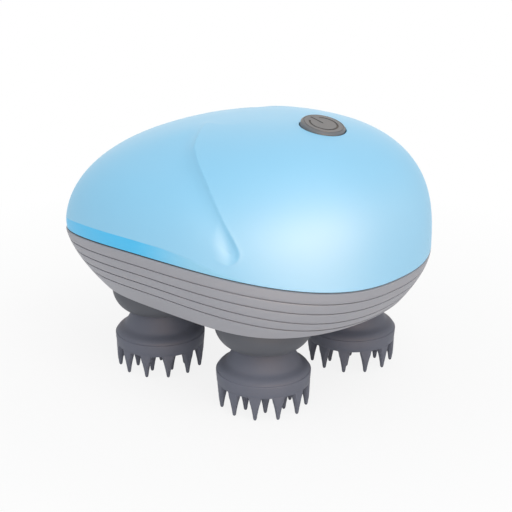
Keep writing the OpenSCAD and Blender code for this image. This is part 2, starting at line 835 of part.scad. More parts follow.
module charging_socket() {
    color("black") along_nose() difference() {
        union() {
            rod(barrel_r, socket_x, socket_x + socket_l + socket_back);
            rod(socket_flange_r, socket_seat_x, socket_seat_x + socket_flange_t);
        }
        rod(socket_r, socket_x - 1, socket_x + socket_l);
    }
}

// ---- screws ----
module case_screws() {
    color("silver") for (p = pillar_spots) translate([p[0], p[1], pillar_head_z])
        screw(case_screw_r, case_head_r, case_head_t, case_screw_l);
}

module gearbox_screws() {
    color("silver") for (p = post_spots) translate([p[0], p[1], cover_top]) mirror([0, 0, 1])
        screw(small_screw_r, small_head_r, small_head_t, cover_top - deck_z + screw_bite);
}

module motor_screws() {
    color("silver") translate([motor_pos[0], motor_pos[1], cover_z])
        for (y = [-motor_screw_y, motor_screw_y]) translate([0, y, 0])
            screw(small_screw_r, small_head_r, small_head_t, cover_t + motor_floor);
}

module board_screws() {
    color("silver") at_button() for (p = board_spots) translate([p[0], p[1], -board_depth - board_t])
        screw(small_screw_r, small_head_r, small_head_t, board_screw_l);
}

top_shell();
lower_casing();
parting_gasket();
gearbox_base();
gearbox_cover();
collar(0);  // collar_1
collar(1);  // collar_2
collar(2);  // collar_3
collar(3);  // collar_4
lip_seal(0);  // lip_seal_1
lip_seal(1);  // lip_seal_2
lip_seal(2);  // lip_seal_3
lip_seal(3);  // lip_seal_4
bush(0);  // bush_1
bush(1);  // bush_2
bush(2);  // bush_3
bush(3);  // bush_4
head_pad(0);  // head_pad_1
head_pad(1);  // head_pad_2
head_pad(2);  // head_pad_3
head_pad(3);  // head_pad_4
head_hub(0);  // head_hub_1
head_hub(1);  // head_hub_2
head_hub(2);  // head_hub_3
head_hub(3);  // head_hub_4
output_shaft(0);  // output_shaft_1
output_shaft(1);  // output_shaft_2
output_shaft(2);  // output_shaft_3
output_shaft(3);  // output_shaft_4
head_gear(0);  // head_gear_1
head_gear(1);  // head_gear_2
head_gear(2);  // head_gear_3
head_gear(3);  // head_gear_4
drive_gear();
drive_axle();
idler_gear();
idler_axle();
motor_can();
motor_end_cap();
motor_magnets();
motor_armature();
motor_shaft();
motor_pinion();
battery_cell();
battery_tray();
control_board();
tact_switch();
switch_plunger();
power_button();
charging_socket();
case_screws();
gearbox_screws();
motor_screws();
board_screws();
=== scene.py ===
"""Electric scalp massager: the visible pieces, finishes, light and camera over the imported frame.

Lengths in the classes are millimetres, and become metres when a mesh is made.
"""

import json
import logging
import math
from dataclasses import dataclass, field
from enum import Enum
from typing import ClassVar, Iterable, Sequence

import bmesh
import bpy
import numpy as np
from mathutils import Matrix, Vector


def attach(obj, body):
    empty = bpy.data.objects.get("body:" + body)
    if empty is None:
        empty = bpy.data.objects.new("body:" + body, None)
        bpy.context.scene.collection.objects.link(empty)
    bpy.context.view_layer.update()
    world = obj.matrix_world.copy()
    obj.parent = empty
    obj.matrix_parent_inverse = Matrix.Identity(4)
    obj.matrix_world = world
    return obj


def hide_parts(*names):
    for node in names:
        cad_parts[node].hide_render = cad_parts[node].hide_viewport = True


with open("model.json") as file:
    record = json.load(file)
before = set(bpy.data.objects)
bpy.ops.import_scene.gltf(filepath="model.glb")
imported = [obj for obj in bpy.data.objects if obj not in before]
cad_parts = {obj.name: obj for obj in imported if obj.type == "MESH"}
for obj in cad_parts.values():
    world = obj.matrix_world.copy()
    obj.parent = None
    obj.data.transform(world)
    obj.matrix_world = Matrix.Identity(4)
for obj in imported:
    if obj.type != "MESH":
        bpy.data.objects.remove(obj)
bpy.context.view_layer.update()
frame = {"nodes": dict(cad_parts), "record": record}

LOG = logging.getLogger("massager")
MM = 0.001
SAME_SPOT = 1e-5
FULL_TURN = 360.0

Colour = tuple[float, float, float]
Pairs = tuple[tuple[float, float], ...]
Profile = Sequence[tuple[float, float]]
Values = np.ndarray | float
Shape = bmesh.types.BMesh
Tree = bpy.types.NodeTree
Socket = bpy.types.NodeSocket


class Body(Enum):
    """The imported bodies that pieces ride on."""

    CASE = "body"
    BUTTON = "button"


def srgb(red: float, green: float, blue: float) -> Colour:
    """Turn a colour written 0 to 255 into the linear colour that a shader takes.

    Args:
        red: Red as written in sRGB.
        green: Green as written in sRGB.
        blue: Blue as written in sRGB.

    Returns:
        The linear red, green and blue.
    """

    def linear(value: float) -> float:
        """Undo the sRGB curve of one channel."""
        v = value / 255.0
        return v / 12.92 if v <= 0.04045 else ((v + 0.055) / 1.055) ** 2.4

    return linear(red), linear(green), linear(blue)


def ease(value: Values) -> Values:
    """Go smoothly from 0 to 1 as value does, and stay level outside."""
    t = np.clip(value, 0.0, 1.0)
    return t * t * (3.0 - 2.0 * t)


# ---------------------------------------------------------------- finishes


def fill_inputs(tree: Tree, node: bpy.types.Node, inputs: dict[str | int, object]) -> None:
    """Set or link a node's inputs.

    Args:
        tree: The node tree that holds it.
        node: The node.
        inputs: A value or another node's socket for each input, by name or number.
    """
    for key, value in inputs.items():
        if isinstance(value, Socket):
            tree.links.new(value, node.inputs[key])
        else:
            node.inputs[key].default_value = value


def add_node(
    tree: Tree, kind: str, inputs: dict[str | int, object] | None = None, **settings: object
) -> bpy.types.Node:
    """Add a shader node, set it up and fill its inputs.

    Args:
        tree: The node tree that takes it.
        kind: Its type without ShaderNode, such as Math.
        inputs: A value or another node's socket for each input, by name or number.
        **settings: Its own settings, such as the operation.

    Returns:
        The node.
    """
    node = tree.nodes.new(f"ShaderNode{kind}")
    for key, value in settings.items():
        setattr(node, key, value)
    fill_inputs(tree, node, inputs or {})
    return node


class SurfaceGroups:
    """Node groups that more than one finish uses."""

    COARSER: ClassVar[float] = 0.3
    RUBBED_FROM: ClassVar[float] = 0.45
    RUBBED_TO: ClassVar[float] = 0.75
    SQUEEZE: ClassVar[tuple[float, float, float]] = (0.06, 0.06, 1.0)

    def __init__(self) -> None:
        """Build each group once."""
        self.grain = self._grain()
        self.handling = self._handling()
        self.turning = self._turning()

    @staticmethod
    def _start(name: str, inputs: dict[str, float]) -> tuple[Tree, bpy.types.NodeOutputs]:
        """Make a group with a position input.

        Args:
            name: The group's name.
            inputs: Float inputs and their defaults.

        Returns:
            The group, and the sockets that give what comes in.
        """
        group = bpy.data.node_groups.new(name, "ShaderNodeTree")
        group.interface.new_socket(name="Position", in_out="INPUT", socket_type="NodeSocketVector")
        for key, value in inputs.items():
            socket = group.interface.new_socket(name=key, in_out="INPUT", socket_type="NodeSocketFloat")
            socket.default_value = value
        return group, group.nodes.new("NodeGroupInput").outputs

    @staticmethod
    def _end(group: Tree, outputs: dict[str, Socket]) -> Tree:
        """Give a group its float outputs.

        Args:
            group: The group.
            outputs: The socket that feeds each output.

        Returns:
            The group.
        """
        for key in outputs:
            group.interface.new_socket(name=key, in_out="OUTPUT", socket_type="NodeSocketFloat")
        fill_inputs(group, group.nodes.new("NodeGroupOutput"), outputs)
        return group

    def _grain(self) -> Tree:
        """Build the fine grain of moulded plastic and silicone.

        Returns:
            A group with Height, the surface's fine relief, and Mottle, a slow change of shade.
        """
        group, given = self._start("moulded_grain", {"Fineness": 2500.0, "Mottle Scale": 60.0})
        coarser = add_node(
            group, "Math", {0: given["Fineness"], 1: self.COARSER}, operation="MULTIPLY"
        ).outputs[0]
        fine, coarse, slow = (
            add_node(group, "TexNoise", {"Vector": given["Position"], "Scale": scale, "Detail": detail})
            for scale, detail in ((given["Fineness"], 2.0), (coarser, 3.0), (given["Mottle Scale"], 2.0))
        )
        height = add_node(group, "Math", {0: fine.outputs["Fac"], 1: coarse.outputs["Fac"]}, operation="ADD")
        return self._end(group, {"Height": height.outputs[0], "Mottle": slow.outputs["Fac"]})

    def _handling(self) -> Tree:
        """Build the faint rubbed patches that hands leave on a smooth surface.

        Returns:
            A group with Rub, from 0 where it is clean to 1 where it is rubbed.
        """
        group, given = self._start("handling_rub", {"Scale": 45.0, "Amount": 1.0})
        patches = add_node(group, "TexNoise", {
            "Vector": given["Position"], "Scale": given["Scale"], "Detail": 6.0, "Roughness": 0.65,
        })
        worn = add_node(group, "MapRange", {
            "Value": patches.outputs["Fac"], "From Min": self.RUBBED_FROM, "From Max": self.RUBBED_TO,
        })
        rub = add_node(group, "Math", {0: worn.outputs["Result"], 1: given["Amount"]}, operation="MULTIPLY")
        return self._end(group, {"Rub": rub.outputs[0]})

    def _turning(self) -> Tree:
        """Build the fine lines that a lathe or a brush leaves on metal.

        Returns:
            A group with Lines, the marks' relief.
        """
        group, given = self._start("turning_marks", {"Scale": 900.0})
        squeezed = add_node(
            group, "VectorMath", {0: given["Position"], 1: self.SQUEEZE}, operation="MULTIPLY"
        )
        lines = add_node(group, "TexNoise", {
            "Vector": squeezed.outputs[0], "Scale": given["Scale"], "Detail": 3.0,
        })
        return self._end(group, {"Lines": lines.outputs["Fac"]})


@dataclass(frozen=True)
class Finish:
    """A surface finish on the Principled shader, with its grain and its wear."""

    name: str
    colour: Colour
    roughness: float = 0.4
    metallic: float = 0.0
    coat: float = 0.0
    coat_roughness: float = 0.05
    coat_ior: float = 1.5
    sheen: float = 0.0
    specular: float = 0.5
    fineness: float = 2500.0
    relief: float = 0.02
    bump: float = 0.35
    mottle: float = 0.03
    rub: float = 0.05
    turned: bool = False
    fades_to: Colour | None = None
    fade_x: tuple[float, float] = (0.0, 1.0)

    @staticmethod
    def _tone(colour: Colour, factor: float) -> tuple[float, float, float, float]:
        """Return a colour made lighter or darker, as a shader colour."""
        return (*(min(1.0, c * factor) for c in colour), 1.0)

    def _colour(self, tree: Tree, place: Socket, mottle: Socket) -> Socket:
        """Add the colour's slow change of shade, and its fade along X if it has one.

        Args:
            tree: The material's nodes.
            place: The socket that gives the place on the object.
            mottle: The socket that gives the slow change.

        Returns:
            The socket that gives the colour.
        """
        colours = (self.colour,) if self.fades_to is None else (self.colour, self.fades_to)
        tones = [
            add_node(tree, "Mix", {
                "Factor": mottle,
                "A": self._tone(colour, 1.0 - self.mottle),
                "B": self._tone(colour, 1.0 + self.mottle),
            }, data_type="RGBA").outputs["Result"]
            for colour in colours
        ]
        if self.fades_to is None:
            return tones[0]
        # Only the shell's edge fades: from its painted shade at the nose to a paler painted sheen towards the
        # tail.
        start, end = (edge * MM for edge in self.fade_x)
        x = add_node(tree, "SeparateXYZ", {"Vector": place}).outputs["X"]
        along = add_node(tree, "MapRange", {
            "Value": x, "From Min": start, "From Max": end,
        }, interpolation_type="SMOOTHSTEP")
        fade = add_node(tree, "Mix", {
            "Factor": along.outputs["Result"], "A": tones[0], "B": tones[1],
        }, data_type="RGBA")
        return fade.outputs["Result"]

    def build(self, groups: SurfaceGroups) -> bpy.types.Material:
        """Make the material.

        Args:
            groups: The shared node groups.

        Returns:
            The material, with its colour, roughness and bump from nodes.
        """
        material = bpy.data.materials.new(self.name)
        material.use_nodes = True
        tree = material.node_tree
        place = add_node(tree, "TexCoord").outputs["Object"]
        grain = add_node(
            tree, "Group", {"Position": place, "Fineness": self.fineness}, node_tree=groups.grain
        )
        handling = add_node(tree, "Group", {"Position": place, "Amount": self.rub}, node_tree=groups.handling)
        rough = add_node(tree, "Math", {0: handling.outputs["Rub"], 1: self.roughness}, operation="ADD")
        marks = grain.outputs["Height"]
        if self.turned:
            marks = add_node(tree, "Group", {"Position": place}, node_tree=groups.turning).outputs["Lines"]
        bump = add_node(tree, "Bump", {"Height": marks, "Strength": self.bump, "Distance": self.relief * MM})
        fill_inputs(tree, tree.nodes["Principled BSDF"], {
            "Base Color": self._colour(tree, place, grain.outputs["Mottle"]),
            "Roughness": rough.outputs[0],
            "Normal": bump.outputs["Normal"],
            "Metallic": self.metallic,
            "Specular IOR Level": self.specular,
            "Coat Weight": self.coat,
            "Coat Roughness": self.coat_roughness,
            "Coat IOR": self.coat_ior,
            "Sheen Weight": self.sheen,
        })
        return material


class Finishes:
    """Every finish on the massager, built once."""

    SHELL = Finish(
        "shell_blue", srgb(123, 203, 242), roughness=0.6, coat=0.9, coat_roughness=0.66, coat_ior=2.2,
        relief=0.004, mottle=0.012, rub=0.05, specular=0.2,
    )
    # Painted shade and sheen: the shell's tucked lower edge is painted a saturated blue as its shade. Along X
    # it fades to a blue paler than the shell, a painted sheen standing in for the light that falls there.
    SHELL_EDGE_SHADE_AND_SHEEN = Finish(
        "shell_edge_painted_shade_and_sheen", srgb(66, 200, 255), roughness=0.5, coat=0.5, coat_roughness=0.45,
        relief=0.004, mottle=0.012, rub=0.04, specular=0.4, fades_to=srgb(152, 216, 246), fade_x=(-2.0, 24.0),
    )
    CASING = Finish(
        "casing_grey", srgb(164, 165, 172), roughness=0.5, relief=0.02, mottle=0.03, rub=0.06,
        fineness=1800.0, specular=0.35,
    )
    COLLAR = Finish(
        "collar_grey", srgb(94, 97, 104), roughness=0.5, relief=0.015, mottle=0.03, rub=0.06, specular=0.22,
    )
    PAD = Finish(
        "pad_silicone", srgb(109, 113, 126), roughness=0.6, sheen=0.06, relief=0.03, mottle=0.05, rub=0.08,
        fineness=1500.0, specular=0.18,
    )
    BUTTON = Finish(
        "button_grey", srgb(113, 117, 121), roughness=0.45, relief=0.012, mottle=0.02, rub=0.05, specular=0.3,
    )
    SYMBOL = Finish("symbol_grey", srgb(72, 70, 68), roughness=0.6, relief=0.01, mottle=0.02)
    GASKET = Finish("gasket_black", srgb(46, 58, 66), roughness=0.75, relief=0.02, mottle=0.03)
    GEAR = Finish("gear_ivory", srgb(232, 228, 214), roughness=0.45, relief=0.012, mottle=0.02)
    FRAME = Finish("frame_grey", srgb(206, 206, 202), roughness=0.5, relief=0.02, mottle=0.02)
    BLACK = Finish("black_plastic", srgb(34, 34, 37), roughness=0.45, relief=0.015, mottle=0.05)
    PLUNGER = Finish("plunger_grey", srgb(178, 178, 174), roughness=0.5, relief=0.01)
    STEEL = Finish(
        "turned_steel", srgb(190, 192, 196), roughness=0.28, metallic=1.0, turned=True, relief=0.006,
    )
    BRASS = Finish(
        "turned_brass", srgb(206, 172, 104), roughness=0.3, metallic=1.0, turned=True, relief=0.006,
    )
    MAGNET = Finish("sintered_magnet", srgb(70, 70, 74), roughness=0.6, metallic=0.4, relief=0.03)
    ARMATURE = Finish(
        "wound_armature", srgb(166, 98, 62), roughness=0.4, metallic=0.7, turned=True, relief=0.04,
    )
    CELL = Finish("cell_sleeve", srgb(62, 124, 98), roughness=0.3, coat=0.3, relief=0.006)
    BOARD = Finish("board_green", srgb(30, 96, 62), roughness=0.35, coat=0.4, relief=0.02, mottle=0.12)

    BY_SLOT = {
        "shell_blue": SHELL, "casing_grey": CASING, "collar_grey": COLLAR, "pad_rubber": PAD,
        "seal_rubber": GASKET, "button_grey": BUTTON, "frame_plastic": FRAME, "gear_plastic": GEAR,
        "plunger_plastic": PLUNGER, "black_plastic": BLACK, "steel": STEEL, "brass": BRASS,
        "magnet": MAGNET, "armature": ARMATURE, "cell_sleeve": CELL, "board_green": BOARD,
    }

    def __init__(self) -> None:
        """Build the shared groups and start with no material."""
        self._groups = SurfaceGroups()
        self._made: dict[str, bpy.types.Material] = {}

    def get(self, finish: Finish) -> bpy.types.Material:
        """Return a finish's material, made at its first use.

        Args:
            finish: The finish.

        Returns:
            Its material.
        """
        if finish.name not in self._made:
            self._made[finish.name] = finish.build(self._groups)
        return self._made[finish.name]


# ---------------------------------------------------------------- making meshes


def mesh_of(name: str, bm: Shape) -> bpy.types.Mesh:
    """Make a mesh of a shape.

    Args:
        name: The mesh's name.
        bm: The shape, freed here.

    Returns:
        The mesh.
    """
    mesh = bpy.data.meshes.new(name)
    bm.to_mesh(mesh)
    bm.free()
    return mesh


def add_object(name: str, data: bpy.types.ID) -> bpy.types.Object:
    """Make an object and link it to the scene.

    Args:
        name: The object's name.
        data: Its mesh, lamp or camera.

    Returns:
        The object.
    """
    obj = bpy.data.objects.new(name, data)
    bpy.context.scene.collection.objects.link(obj)
    return obj


@dataclass
class Workshop:
    """Turns bmeshes into finished pieces that ride on the frame."""

    finishes: Finishes

    def finish_piece(
        self, name: str, bm: Shape, finish: Finish | Sequence[Finish], body: str,
        replaces: Sequence[str] = (), place: Matrix | None = None, crease: float = 32.0,
        cutters: Sequence[Shape] = (),
    ) -> bpy.types.Object:
        """Make an object of a bmesh, dress it and put it on its body.

        Args:
            name: The piece's name.
            bm: The shape in millimetres, freed here.
            finish: Its finish, or one for each material index.
            body: The body it rides on.
            replaces: The CAD nodes it stands for.
            place: Where it goes, in millimetres, or None if it is there already.
            crease: Edges that turn more than this, in degrees, are sharp.
            cutters: Shapes taken out of it, already in place, freed here.

        Returns:
            The finished object.
        """
        if place is not None:
            bmesh.ops.transform(bm, matrix=place, verts=bm.verts)
        obj = self._object(name, bm)
        for index, cutter in enumerate(cutters):
            self._cut(obj, self._object(f"{name}_cutter_{index}", cutter))
        for item in [finish] if isinstance(finish, Finish) else finish:
            obj.data.materials.append(self.finishes.get(item))
        obj.data.shade_smooth()
        obj.data.set_sharp_from_angle(angle=math.radians(crease))
        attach(obj, body)
        if replaces:
            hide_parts(*replaces)
        LOG.info("%s: %d faces, rides on %s", name, len(obj.data.polygons), body)
        return obj

    @staticmethod
    def _object(name: str, bm: Shape) -> bpy.types.Object:
        """Make an object in metres of a bmesh in millimetres.

        Args:
            name: The object's name.
            bm: The shape, freed here.

        Returns:
            The object, linked to the scene.
        """
        bmesh.ops.scale(bm, vec=(MM, MM, MM), verts=bm.verts)
        return add_object(name, mesh_of(name, bm))

    @staticmethod
    def _cut(obj: bpy.types.Object, cutter: bpy.types.Object) -> None:
        """Take a cutter's shape out of an object for good, and remove the cutter.

        Args:
            obj: The object to cut.
            cutter: The shape to take out.
        """
        cut = obj.modifiers.new("cut", "BOOLEAN")
        cut.operation = "DIFFERENCE"
        cut.solver = "EXACT"
        cut.object = cutter
        graph = bpy.context.evaluated_depsgraph_get()
        mesh = bpy.data.meshes.new_from_object(obj.evaluated_get(graph))
        obj.modifiers.clear()
        old, obj.data = obj.data, mesh
        mesh.name = obj.name
        bpy.data.meshes.remove(old)
        bpy.data.objects.remove(cutter)


def lathe(profile: Profile, segments: int = 96, angle: float = FULL_TURN) -> Shape:
    """Spin a profile of radius and height round Z.

    Args:
        profile: Points of radius and height, from one end to the other. A full turn closes the
            ends that lie on the axis; a profile that ends where it starts makes a ring.
        segments: Steps of the spin.
        angle: Degrees of the spin, closed at both ends if it isn't a full turn.

    Returns:
        The closed shape.
    """
    bm = bmesh.new()
    loop = math.dist(profile[0], profile[-1]) < SAME_SPOT
    points = profile[:-1] if loop else profile
    verts = [bm.verts.new((r, 0.0, z)) for r, z in points]
    pairs = list(zip(verts, verts[1:])) + ([(verts[-1], verts[0])] if loop else [])
    edges = [bm.edges.new(pair) for pair in pairs]
    full = angle >= FULL_TURN
    geom: list = verts + edges
    if not full:
        geom = geom + [bm.faces.new(verts)]
    bmesh.ops.spin(
        bm, geom=geom, cent=(0, 0, 0), axis=(0, 0, 1), dvec=(0, 0, 0), use_merge=full, use_duplicate=False,
        angle=math.radians(min(angle, FULL_TURN)), steps=segments,
    )
    bmesh.ops.remove_doubles(bm, verts=bm.verts, dist=SAME_SPOT)
    bmesh.ops.recalc_face_normals(bm, faces=bm.faces)
    return bm


def rod(radius: float, low: float, high: float, segments: int = 64) -> Shape:
    """Make a closed cylinder round Z.

    Args:
        radius: Its radius.
        low: Height of its lower end.
        high: Height of its upper end.
        segments: Sides of its circle.

    Returns:
        The cylinder.
    """
    bm = bmesh.new()
    bmesh.ops.create_cone(
        bm, cap_ends=True, segments=segments, radius1=radius, radius2=radius, depth=high - low,
        matrix=Matrix.Translation((0, 0, (low + high) / 2)),
    )
    return bm


def moved(bm: Shape, place: Matrix) -> Shape:
    """Put a shape in place and return it."""
    bmesh.ops.transform(bm, matrix=place, verts=bm.verts)
    return bm


def joined(target: Shape, parts: Iterable[Shape]) -> Shape:
    """Add shapes to a shape.

    Args:
        target: The shape that takes them.
        parts: The shapes to add, freed here.

    Returns:
        The target.
    """
    for part in parts:
        mesh = mesh_of("part", part)
        target.from_mesh(mesh)
        bpy.data.meshes.remove(mesh)
    return target


def angles_round(count: int) -> np.ndarray:
    """Return angles spread evenly over a full turn."""
    return np.linspace(0.0, 2 * math.pi, count, endpoint=False)


def ring_edges(ring: Sequence[bmesh.types.BMVert]) -> list[bmesh.types.BMEdge]:
    """Return the edges between a ring's neighbours."""
    return [next(e for e in a.link_edges if b in e.verts) for a, b in zip(ring, ring[1:] + ring[:1])]


def stack_rings(rings: np.ndarray, closed: bool, poles: tuple[bool, bool] = (False, False)) -> Shape:
    """Extrude a circle through a stack of rings.

    Args:
        rings: Points of each ring, as rows x points x 3.
        closed: True if the last ring joins the first.
        poles: Whether the first and the last ring end in a point rather than a flat face.

    Returns:
        The closed shape, with its rows in order in a face layer named row.
    """
    bm = bmesh.new()
    row_of = bm.faces.layers.int.new("row")
    count = rings.shape[1]
    ring = bmesh.ops.create_circle(bm, cap_ends=False, segments=count, radius=1.0)["verts"]
    for vert, point in zip(ring, rings[0]):
        vert.co = point
    first = ring
    for row, points in enumerate(rings[1:]):
        made = bmesh.ops.extrude_edge_only(bm, edges=ring_edges(ring))["geom"]
        fresh = {v for v in made if isinstance(v, bmesh.types.BMVert)}
        for face in made:
            if isinstance(face, bmesh.types.BMFace):
                face[row_of] = row
        ring = [next(e.other_vert(v) for e in v.link_edges if e.other_vert(v) in fresh) for v in ring]
        for vert, point in zip(ring, points):
            vert.co = point
    if closed:
        bmesh.ops.bridge_loops(bm, edges=ring_edges(first) + ring_edges(ring))
    else:
        for end, pole in zip((first, ring), poles):
            if pole:
                middle = sum((v.co for v in end), Vector()) / count
                bmesh.ops.pointmerge(bm, verts=end, merge_co=middle)
            else:
                bmesh.ops.contextual_create(bm, geom=end)
    bmesh.ops.recalc_face_normals(bm, faces=bm.faces)
    return bm


# ---------------------------------------------------------------- the body's form


@dataclass(frozen=True)
class EggForm:
    """The egg-shaped body: a domed top over a parting line, and a casing that narrows to a flat rim.

    A pair of powers gives the roundness of a curve: along and across for the plans, upwards and
    outwards for the nose, the tail and the side.
    """

    length: float = 112.0
    width: float = 91.0
    height: float = 77.5
    crown_x: float = 21.6
    heads_x: float = 4.8
    parting_height: float = 45.0
    parting_dip: float = 7.0
    rim_height: float = 26.0
    rim_length: float = 89.4
    rim_width: float = 73.4
    rim_x: float = 4.0
    deck_height: float = 28.0
    plan: tuple[float, float] = (2.2, 2.4)
    rim_plan: tuple[float, float] = (3.9, 2.0)
    nose: tuple[float, float] = (2.0, 2.2)
    tail: tuple[float, float] = (3.2, 1.9)
    side: tuple[float, float] = (2.2, 2.25)
    casing_power: float = 1.4

    @property
    def half(self) -> float:
        """Return half the length."""
        return self.length / 2

    def parting(self, x: Values) -> Values:
        """Return the height of the parting line at x."""
        return self.parting_height - self.parting_dip * ((x - self.heads_x) / self.half) ** 2

    @staticmethod
    def _ring(
        x0: Values, x1: Values, half: Values, powers: tuple[Values, Values], turn: np.ndarray
    ) -> tuple[np.ndarray, np.ndarray]:
        """Return x and y of an egg-shaped ring.

        Args:
            x0: Its end towards the nose.
            x1: Its end towards the tail.
            half: Half its width.
            powers: Roundness along its length and across it.
            turn: The angles round it.

        Returns:
            The x and y of its points.
        """
        along, across = powers
        u = np.cos(turn)
        y = half * np.maximum(0.0, 1.0 - np.abs(u) ** along) ** (1.0 / across)
        return (x0 + x1) / 2 + (x1 - x0) / 2 * u, np.where(np.sin(turn) < 0, -y, y)

    def foot_x(self, inset: Values, turn: np.ndarray) -> np.ndarray:
        """Return x of the parting line's points."""
        return self._ring(-self.half + inset, self.half - inset, 1.0, self.plan, turn)[0]

    def top(self, share: np.ndarray, inset: Values, lift: float, turn: np.ndarray) -> np.ndarray:
        """Return points of the domed top.

        Args:
            share: Share of the way up, 0 at the parting line and 1 at the crown, per point.
            inset: Distance inside the outer surface.
            lift: Height of the foot above the parting line.
            turn: The angles round the body.

        Returns:
            The points, with x, y and z last.
        """
        s = np.clip(share, 0.0, 1.0)
        nose, tail, side = ((1.0 - s**up) ** (1 / out) for up, out in (self.nose, self.tail, self.side))
        x0 = self.crown_x - (self.crown_x + self.half - inset) * nose
        x1 = self.crown_x + (self.half - inset - self.crown_x) * tail
        x, y = self._ring(x0, x1, (self.width / 2 - inset) * side, self.plan, turn)
        foot = self.parting(self.foot_x(inset, turn)) + lift
        return np.stack([x, y, foot * (1.0 - s) + (self.height - inset) * s], axis=-1)

    def casing(
        self, share: np.ndarray, inset: Values, drop: float, bottom: float, turn: np.ndarray
    ) -> np.ndarray:
        """Return points of the casing's wall.

        Args:
            share: Share of the way down, 0 at the parting line and 1 at the bottom, per point.
            inset: Distance inside the outer surface.
            drop: Distance of the upper edge below the parting line.
            bottom: Height of the lower edge.
            turn: The angles round the body.

        Returns:
            The points, with x, y and z last.
        """
        s = np.clip(share, 0.0, 1.0)
        g = 1.0 - s**self.casing_power
        r0 = self.rim_x - self.rim_length / 2 + inset
        r1 = self.rim_x + self.rim_length / 2 - inset
        x0 = r0 + (-self.half + inset - r0) * g
        x1 = r1 + (self.half - inset - r1) * g
        width = self.rim_width / 2 - inset + (self.width - self.rim_width) / 2 * g
        along, across = (low + (high - low) * g for low, high in zip(self.rim_plan, self.plan))
        x, y = self._ring(x0, x1, width, (along, across), turn)
        upper = self.parting(self.foot_x(inset, turn)) - drop
        return np.stack([x, y, upper * (1.0 - s) + bottom * s], axis=-1)


FORM = EggForm()


@dataclass(frozen=True)
class Layout:
    """Where the heads, the button, the pillars and the openings are."""

    head_reach: float = 29.0
    head_angles: tuple[float, ...] = (225.0, 315.0, 45.0, 135.0)
    pad_turns: tuple[float, ...] = (25.0, 0.0, 28.0, 12.0)
    button_x: float = 28.6
    button_z: float = 77.0
    button_tilt: float = 13.8
    button_proud: float = 0.7
    socket_z: float = 42.5
    pillars: Pairs = (
        (-33.0, 14.0), (-33.0, -14.0), (42.5, 0.0), (FORM.heads_x, 33.5), (FORM.heads_x, -33.5),
    )

    def heads(self) -> list[Matrix]:
        """Find the heads.

        Returns:
            The place of each head's axis on the ground.
        """
        turns = (math.radians(angle) for angle in self.head_angles)
        reach = self.head_reach
        return [
            Matrix.Translation((FORM.heads_x + reach * math.cos(a), reach * math.sin(a), 0.0)) for a in turns
        ]

    def button(self) -> Matrix:
        """Return the place and tilt of the button's face."""
        tilt = Matrix.Rotation(math.radians(self.button_tilt), 4, "Y")
        return Matrix.Translation((self.button_x, 0.0, self.button_z)) @ tilt

    def nose_bore(self, x: float) -> Matrix:
        """Return the place at x of a shape whose Z runs into the nose."""
        return Matrix.Translation((x, 0.0, self.socket_z)) @ Matrix.Rotation(math.pi / 2, 4, "Y")


LAYOUT = Layout()


